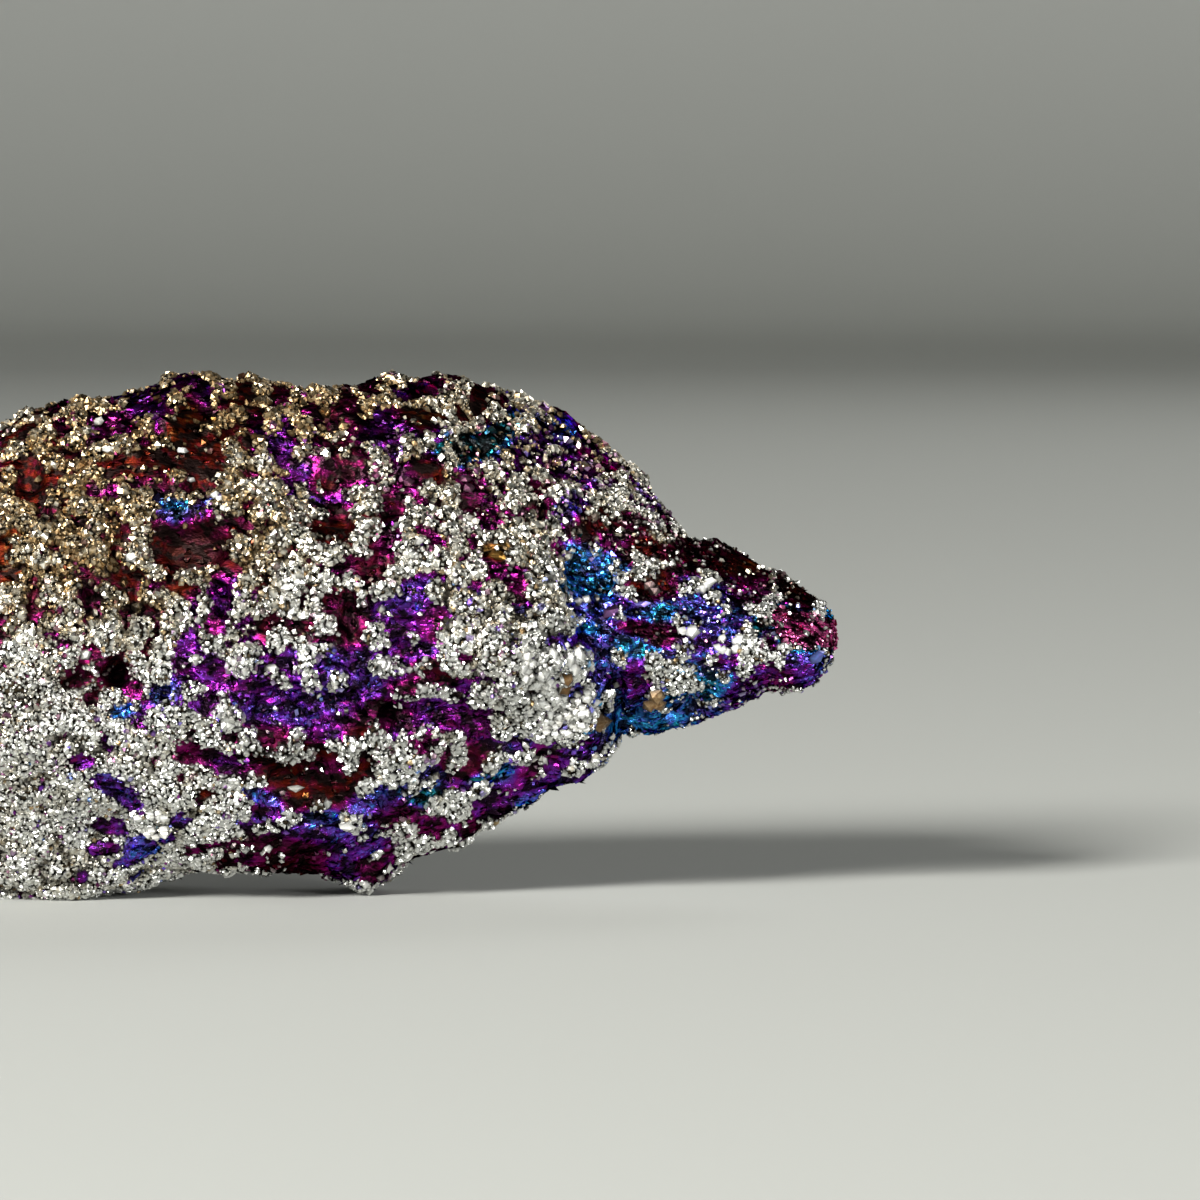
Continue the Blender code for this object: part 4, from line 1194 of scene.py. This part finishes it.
class Finish:
    """A material under construction, with short ways to add and link its nodes."""

    def __init__(self, name):
        self.material = bpy.data.materials.new(name)
        self.material.use_nodes = True
        self.tree = self.material.node_tree
        self.shader = self.tree.nodes["Principled BSDF"]
        self.shader.inputs["Metallic"].default_value = 1.0

    def add(self, kind, **settings):
        """A new node of that kind, with those settings."""
        node = self.tree.nodes.new(kind)
        for setting, value in settings.items():
            setattr(node, setting, value)
        return node

    def link(self, source, target):
        """A link from an output to an input."""
        self.tree.links.new(source, target)

    def field(self, name):
        """The number that each point of the mesh carries under that name."""
        return self.add("ShaderNodeAttribute", attribute_name=name).outputs["Fac"]

    def noise(self, size, detail=2.0, stretch=(1, 1, 1)):
        """A noise from 0 to 1, with features of that size on the stone, times the stretch."""
        place = self.add("ShaderNodeTexCoord").outputs["Object"]
        sized = self.add("ShaderNodeMapping")
        sized.inputs["Scale"].default_value = [1 / (size * longer) for longer in stretch]
        texture = self.add("ShaderNodeTexNoise")
        texture.inputs["Scale"].default_value = 1.0
        texture.inputs["Detail"].default_value = detail
        self.link(place, sized.inputs["Vector"])
        self.link(sized.outputs["Vector"], texture.inputs["Vector"])
        return texture.outputs["Fac"]

    def ranged(self, source, low, high, from_low=0.3, from_high=0.7):
        """The source, mapped from one range to another."""
        node = self.add("ShaderNodeMapRange")
        for socket, value in zip(("From Min", "From Max", "To Min", "To Max"),
                                 (from_low, from_high, low, high)):
            node.inputs[socket].default_value = value
        self.link(source, node.inputs["Value"])
        return node.outputs["Result"]

    def joined(self, operation, first, second):
        """The two numbers, joined by that operation."""
        node = self.add("ShaderNodeMath", operation=operation)
        self.link(first, node.inputs[0])
        self.link(second, node.inputs[1])
        return node.outputs[0]

    def summed(self, first, second):
        """The sum of the two."""
        return self.joined("ADD", first, second)

    def most(self, first, second):
        """The greater of the two."""
        return self.joined("MAXIMUM", first, second)

    def ramp(self, source, stops):
        """The source's colour on a ramp with those stops."""
        node = self.add("ShaderNodeValToRGB")
        marks = node.color_ramp.elements
        while len(marks) < len(stops):
            marks.new(0.5)
        for mark, (position, colour) in zip(marks, stops):
            mark.position = position
            mark.color = (*colour, 1)
        self.link(source, node.inputs["Fac"])
        return node.outputs["Color"]

    def mixed(self, share, first, second):
        """The first colour where share is 0, the second where it is 1."""
        node = self.add("ShaderNodeMix", data_type="RGBA")
        self.link(share, node.inputs[0])
        self.link(first, node.inputs[6])
        self.link(second, node.inputs[7])
        return node.outputs[2]

    def paint(self, colour):
        """That colour for the metal, seen from above and seen aslant, so that no pale sheen shows."""
        self.link(colour, self.shader.inputs["Base Color"])
        self.link(colour, self.shader.inputs["Specular Tint"])

    def bump(self, source, height):
        """Bumps where the source is high, as deep as that height."""
        node = self.add("ShaderNodeBump")
        node.inputs["Distance"].default_value = height
        self.link(source, node.inputs["Height"])
        self.link(node.outputs["Normal"], self.shader.inputs["Normal"])


# %% The tarnished finish
def film_colour(finish):
    """The film's colour: the thickness that the mesh carries, nudged by two noises."""
    thickness = finish.summed(finish.field("film"), finish.ranged(finish.noise(0.8 * MM), -0.03, 0.03))
    thickness = finish.summed(thickness, finish.ranged(finish.noise(0.22 * MM), -0.025, 0.025))
    return finish.ramp(thickness, FILM_COLOURS)


def mottled(finish):
    """The share of a place that is blackened at random, in spots of half a millimetre."""
    spots = finish.noise(SPECK, detail=3.0, stretch=(1.7, 1.0, 1.0))
    return finish.ranged(spots, 0.97, 0.0, 0.445, 0.60)


def darkened(finish, share, colour):
    """The colour, gone over to a near black where share is 1: painted shade in the crevices and under the
    grains, and black spots at random.
    """
    black = finish.ramp(share, [(0.0, SHADE_AND_SPOT_BLACK), (1.0, SHADE_AND_SPOT_BLACK)])
    return finish.mixed(share, colour, black)


def tarnished_finish(name):
    """Bare tarnished ore, and dull brown metal where the crust covers it, painted dark as the shade
    between the grains.
    """
    finish = Finish(name)
    shaded_under_crust = finish.ramp(finish.noise(SPECK), UNDER_CRUST_SHADE)
    bared = finish.ranged(finish.field("bare"), 0, 1, 0, 0.4)
    colour = finish.mixed(bared, shaded_under_crust, film_colour(finish))
    # Deep places are painted towards black, as painted shade; the noise adds black spots at random.
    sunk = finish.ranged(finish.field("deep"), 0.0, 0.85, 0.0, 1.0)
    finish.paint(darkened(finish, finish.most(sunk, mottled(finish)), colour))
    rough = finish.summed(finish.ranged(finish.noise(0.3 * MM), 0.18, 0.34),
                          finish.ranged(finish.field("film"), 0.24, 0.0, 0.22, 0.40))
    finish.link(rough, finish.shader.inputs["Roughness"])
    finish.bump(finish.noise(0.16 * MM, detail=3.0, stretch=(2.2, 1.0, 1.0)), 0.09 * MM)
    return finish.material


def flake_finish(name):
    """The flakes of the hollows: the same film, glossier."""
    finish = Finish(name)
    # A flake's buried side and the deep places are painted towards black, as painted shade; the noise
    # adds black spots at random.
    hidden = finish.ranged(finish.field("exposed"), 0.95, 0.0, 0.35, 0.85)
    sunk = finish.ranged(finish.field("deep"), 0.0, 0.9, 0.4, 1.0)
    shade_and_spots = finish.most(finish.most(hidden, sunk), mottled(finish))
    finish.paint(darkened(finish, shade_and_spots, film_colour(finish)))
    finish.link(finish.ranged(finish.noise(0.3 * MM), 0.14, 0.34), finish.shader.inputs["Roughness"])
    finish.bump(finish.noise(0.08 * MM, detail=2.0), 0.02 * MM)
    return finish.material


bare_ore.data.materials.append(tarnished_finish("tarnished_ore_finish"))
flakes.data.materials.append(flake_finish("tarnished_flake_finish"))


# %% The grains' finish
def grain_finish(name, metallic=1.0):
    """Pale metal by tone, with the film's colour on stained grains."""
    finish = Finish(name)
    metal_share = finish.ranged(finish.field("stain"), metallic, 1.0, 0.0, 0.5)
    finish.link(metal_share, finish.shader.inputs["Metallic"])
    tone = finish.summed(finish.field("tone"), finish.ranged(finish.noise(0.15 * MM), -0.12, 0.12))
    metal = finish.ramp(tone, TONE_COLOURS)
    colour = finish.mixed(finish.field("stain"), metal, film_colour(finish))
    # A grain's buried side and the grains that lie deep are painted towards black, as painted shade.
    hidden = finish.ranged(finish.field("exposed"), 0.95, 0.0, 0.42, 0.96)
    sunk = finish.ranged(finish.field("deep"), 0.0, 0.92, 0.55, 1.0)
    colour = darkened(finish, finish.most(hidden, sunk), colour)
    finish.link(colour, finish.shader.inputs["Base Color"])
    rough = finish.ranged(finish.field("shine"), 0.42, 0.15, 0.0, 1.0)
    finish.link(rough, finish.shader.inputs["Roughness"])
    finish.bump(finish.noise(0.07 * MM, detail=2.0), 0.008 * MM)
    return finish.material


crust_finish = grain_finish("crust_grain_finish")
for piece in crust_pieces:
    piece.data.materials.append(crust_finish)
crystals.data.materials.append(grain_finish("crystal_finish", metallic=0.5))
for piece in (bare_ore, flakes, crystals, *crust_pieces):
    print(piece.name, "is finished in", piece.data.materials[0].name)

# %% [markdown]
# ## Floor and light
# The stone stands on a plain pale floor that curves up into a wall all round, so that every side is
# seen against the same grey. Metal shows what it reflects, so the lights are fairly small: a key
# light from the front left makes the grains sparkle, a weaker one from the front right shows the
# point, and a faint one behind lifts the outline from the wall.

# %% The floor
FLOOR_RADIUS = 1.5
WALL_RADIUS = 2.1
WALL_HEIGHT = 1.6
FLAT_SHARE, BEND_SHARE, WALL_SHARE = 0.4, 0.4, 0.2
RINGS, SPOKES = 40, 96
FLOOR_COLOURS = [(0.3, (0.32, 0.33, 0.31)), (0.6, (0.74, 0.76, 0.73))]  # by the share of the way out


def floor_profile(share):
    """The floor's radius and height for shares from 0 in the middle to 1 at the wall's top: flat,
    then a quarter circle, then straight up."""
    bend = np.clip((share - FLAT_SHARE) / BEND_SHARE, 0, 1) * math.pi / 2
    curve = WALL_RADIUS - FLOOR_RADIUS
    radius = np.clip(share / FLAT_SHARE, 0, 1) * FLOOR_RADIUS + curve * np.sin(bend)
    height = curve * (1 - np.cos(bend))
    height += np.clip((share - (FLAT_SHARE + BEND_SHARE)) / WALL_SHARE, 0, 1) * (WALL_HEIGHT - curve)
    return radius, height


def make_floor():
    """A bowl turned from the profile, seen from its inside. Each point carries its share of the way
    out, for the paint."""
    share = np.linspace(0, 1, RINGS + 1)[1:]
    radius, height = floor_profile(share)
    angle = np.linspace(0, 2 * math.pi, SPOKES, endpoint=False)
    points = np.stack([
        np.outer(radius, np.cos(angle)),
        np.outer(radius, np.sin(angle)),
        np.outer(height, np.ones(SPOKES)),
    ], axis=2).reshape(-1, 3)
    points = np.vstack([points, [[0, 0, 0]]])
    circle, spoke = np.divmod(np.arange((RINGS - 1) * SPOKES), SPOKES)
    after = (spoke + 1) % SPOKES
    a, b = circle * SPOKES + spoke, circle * SPOKES + after
    faces = np.stack([a, a + SPOKES, b + SPOKES, b], axis=1).tolist()
    faces += [(i, (i + 1) % SPOKES, RINGS * SPOKES) for i in range(SPOKES)]
    mesh = bpy.data.meshes.new("floor")
    mesh.from_pydata(points.tolist(), [], faces)
    mesh.shade_smooth()
    far = np.append(np.repeat(share, SPOKES), 0)
    layer = mesh.attributes.new("far", "FLOAT", "POINT")
    layer.data.foreach_set("value", far.astype(np.float32))
    floor = bpy.data.objects.new("floor", mesh)
    bpy.context.scene.collection.objects.link(floor)
    return floor


floor_finish = Finish("floor_paint")
floor_finish.shader.inputs["Metallic"].default_value = 0.0
floor_finish.shader.inputs["Roughness"].default_value = 0.9
paint = floor_finish.ramp(floor_finish.field("far"), FLOOR_COLOURS)
floor_finish.link(paint, floor_finish.shader.inputs["Base Color"])
floor = make_floor()
floor.data.materials.append(floor_finish.material)
print("the floor is", 2 * WALL_RADIUS, "m across")

# %% The lights
LIT_MIDDLE = np.array([0, 0, 13.0]) * MM
LIGHT_DISTANCE = 1.0
SKY_COLOUR, SKY_STRENGTH = (0.5, 0.52, 0.5, 1), 0.06


def soft_light(name, azimuth, elevation, size, power, colour=(1, 1, 1)):
    """A square light of that size in that direction from the stone, facing it. Azimuth 0 is in
    front, and 90 is on the stone's right, the +X side."""
    a, e = math.radians(azimuth), math.radians(elevation)
    direction = np.array([math.sin(a) * math.cos(e), -math.cos(a) * math.cos(e), math.sin(e)])
    data = bpy.data.lights.new(name, "AREA")
    data.size = size
    data.energy = power
    data.color = colour
    light = bpy.data.objects.new(name, data)
    light.location = LIT_MIDDLE + direction * LIGHT_DISTANCE
    light.rotation_euler = (math.pi / 2 - e, 0, a)
    bpy.context.scene.collection.objects.link(light)


soft_light("key", azimuth=-38, elevation=27, size=0.28, power=29, colour=(1.0, 0.98, 0.95))
soft_light("second key", azimuth=42, elevation=10, size=0.24, power=7)
soft_light("back", azimuth=158, elevation=35, size=0.40, power=2)
print(len(bpy.data.lights), "lights, of", [light.energy for light in bpy.data.lights], "watts")
world = bpy.data.worlds.new("studio")
world.use_nodes = True
world.node_tree.nodes["Background"].inputs["Color"].default_value = SKY_COLOUR
world.node_tree.nodes["Background"].inputs["Strength"].default_value = SKY_STRENGTH
bpy.context.scene.world = world
bpy.context.scene.view_settings.view_transform = "Standard"
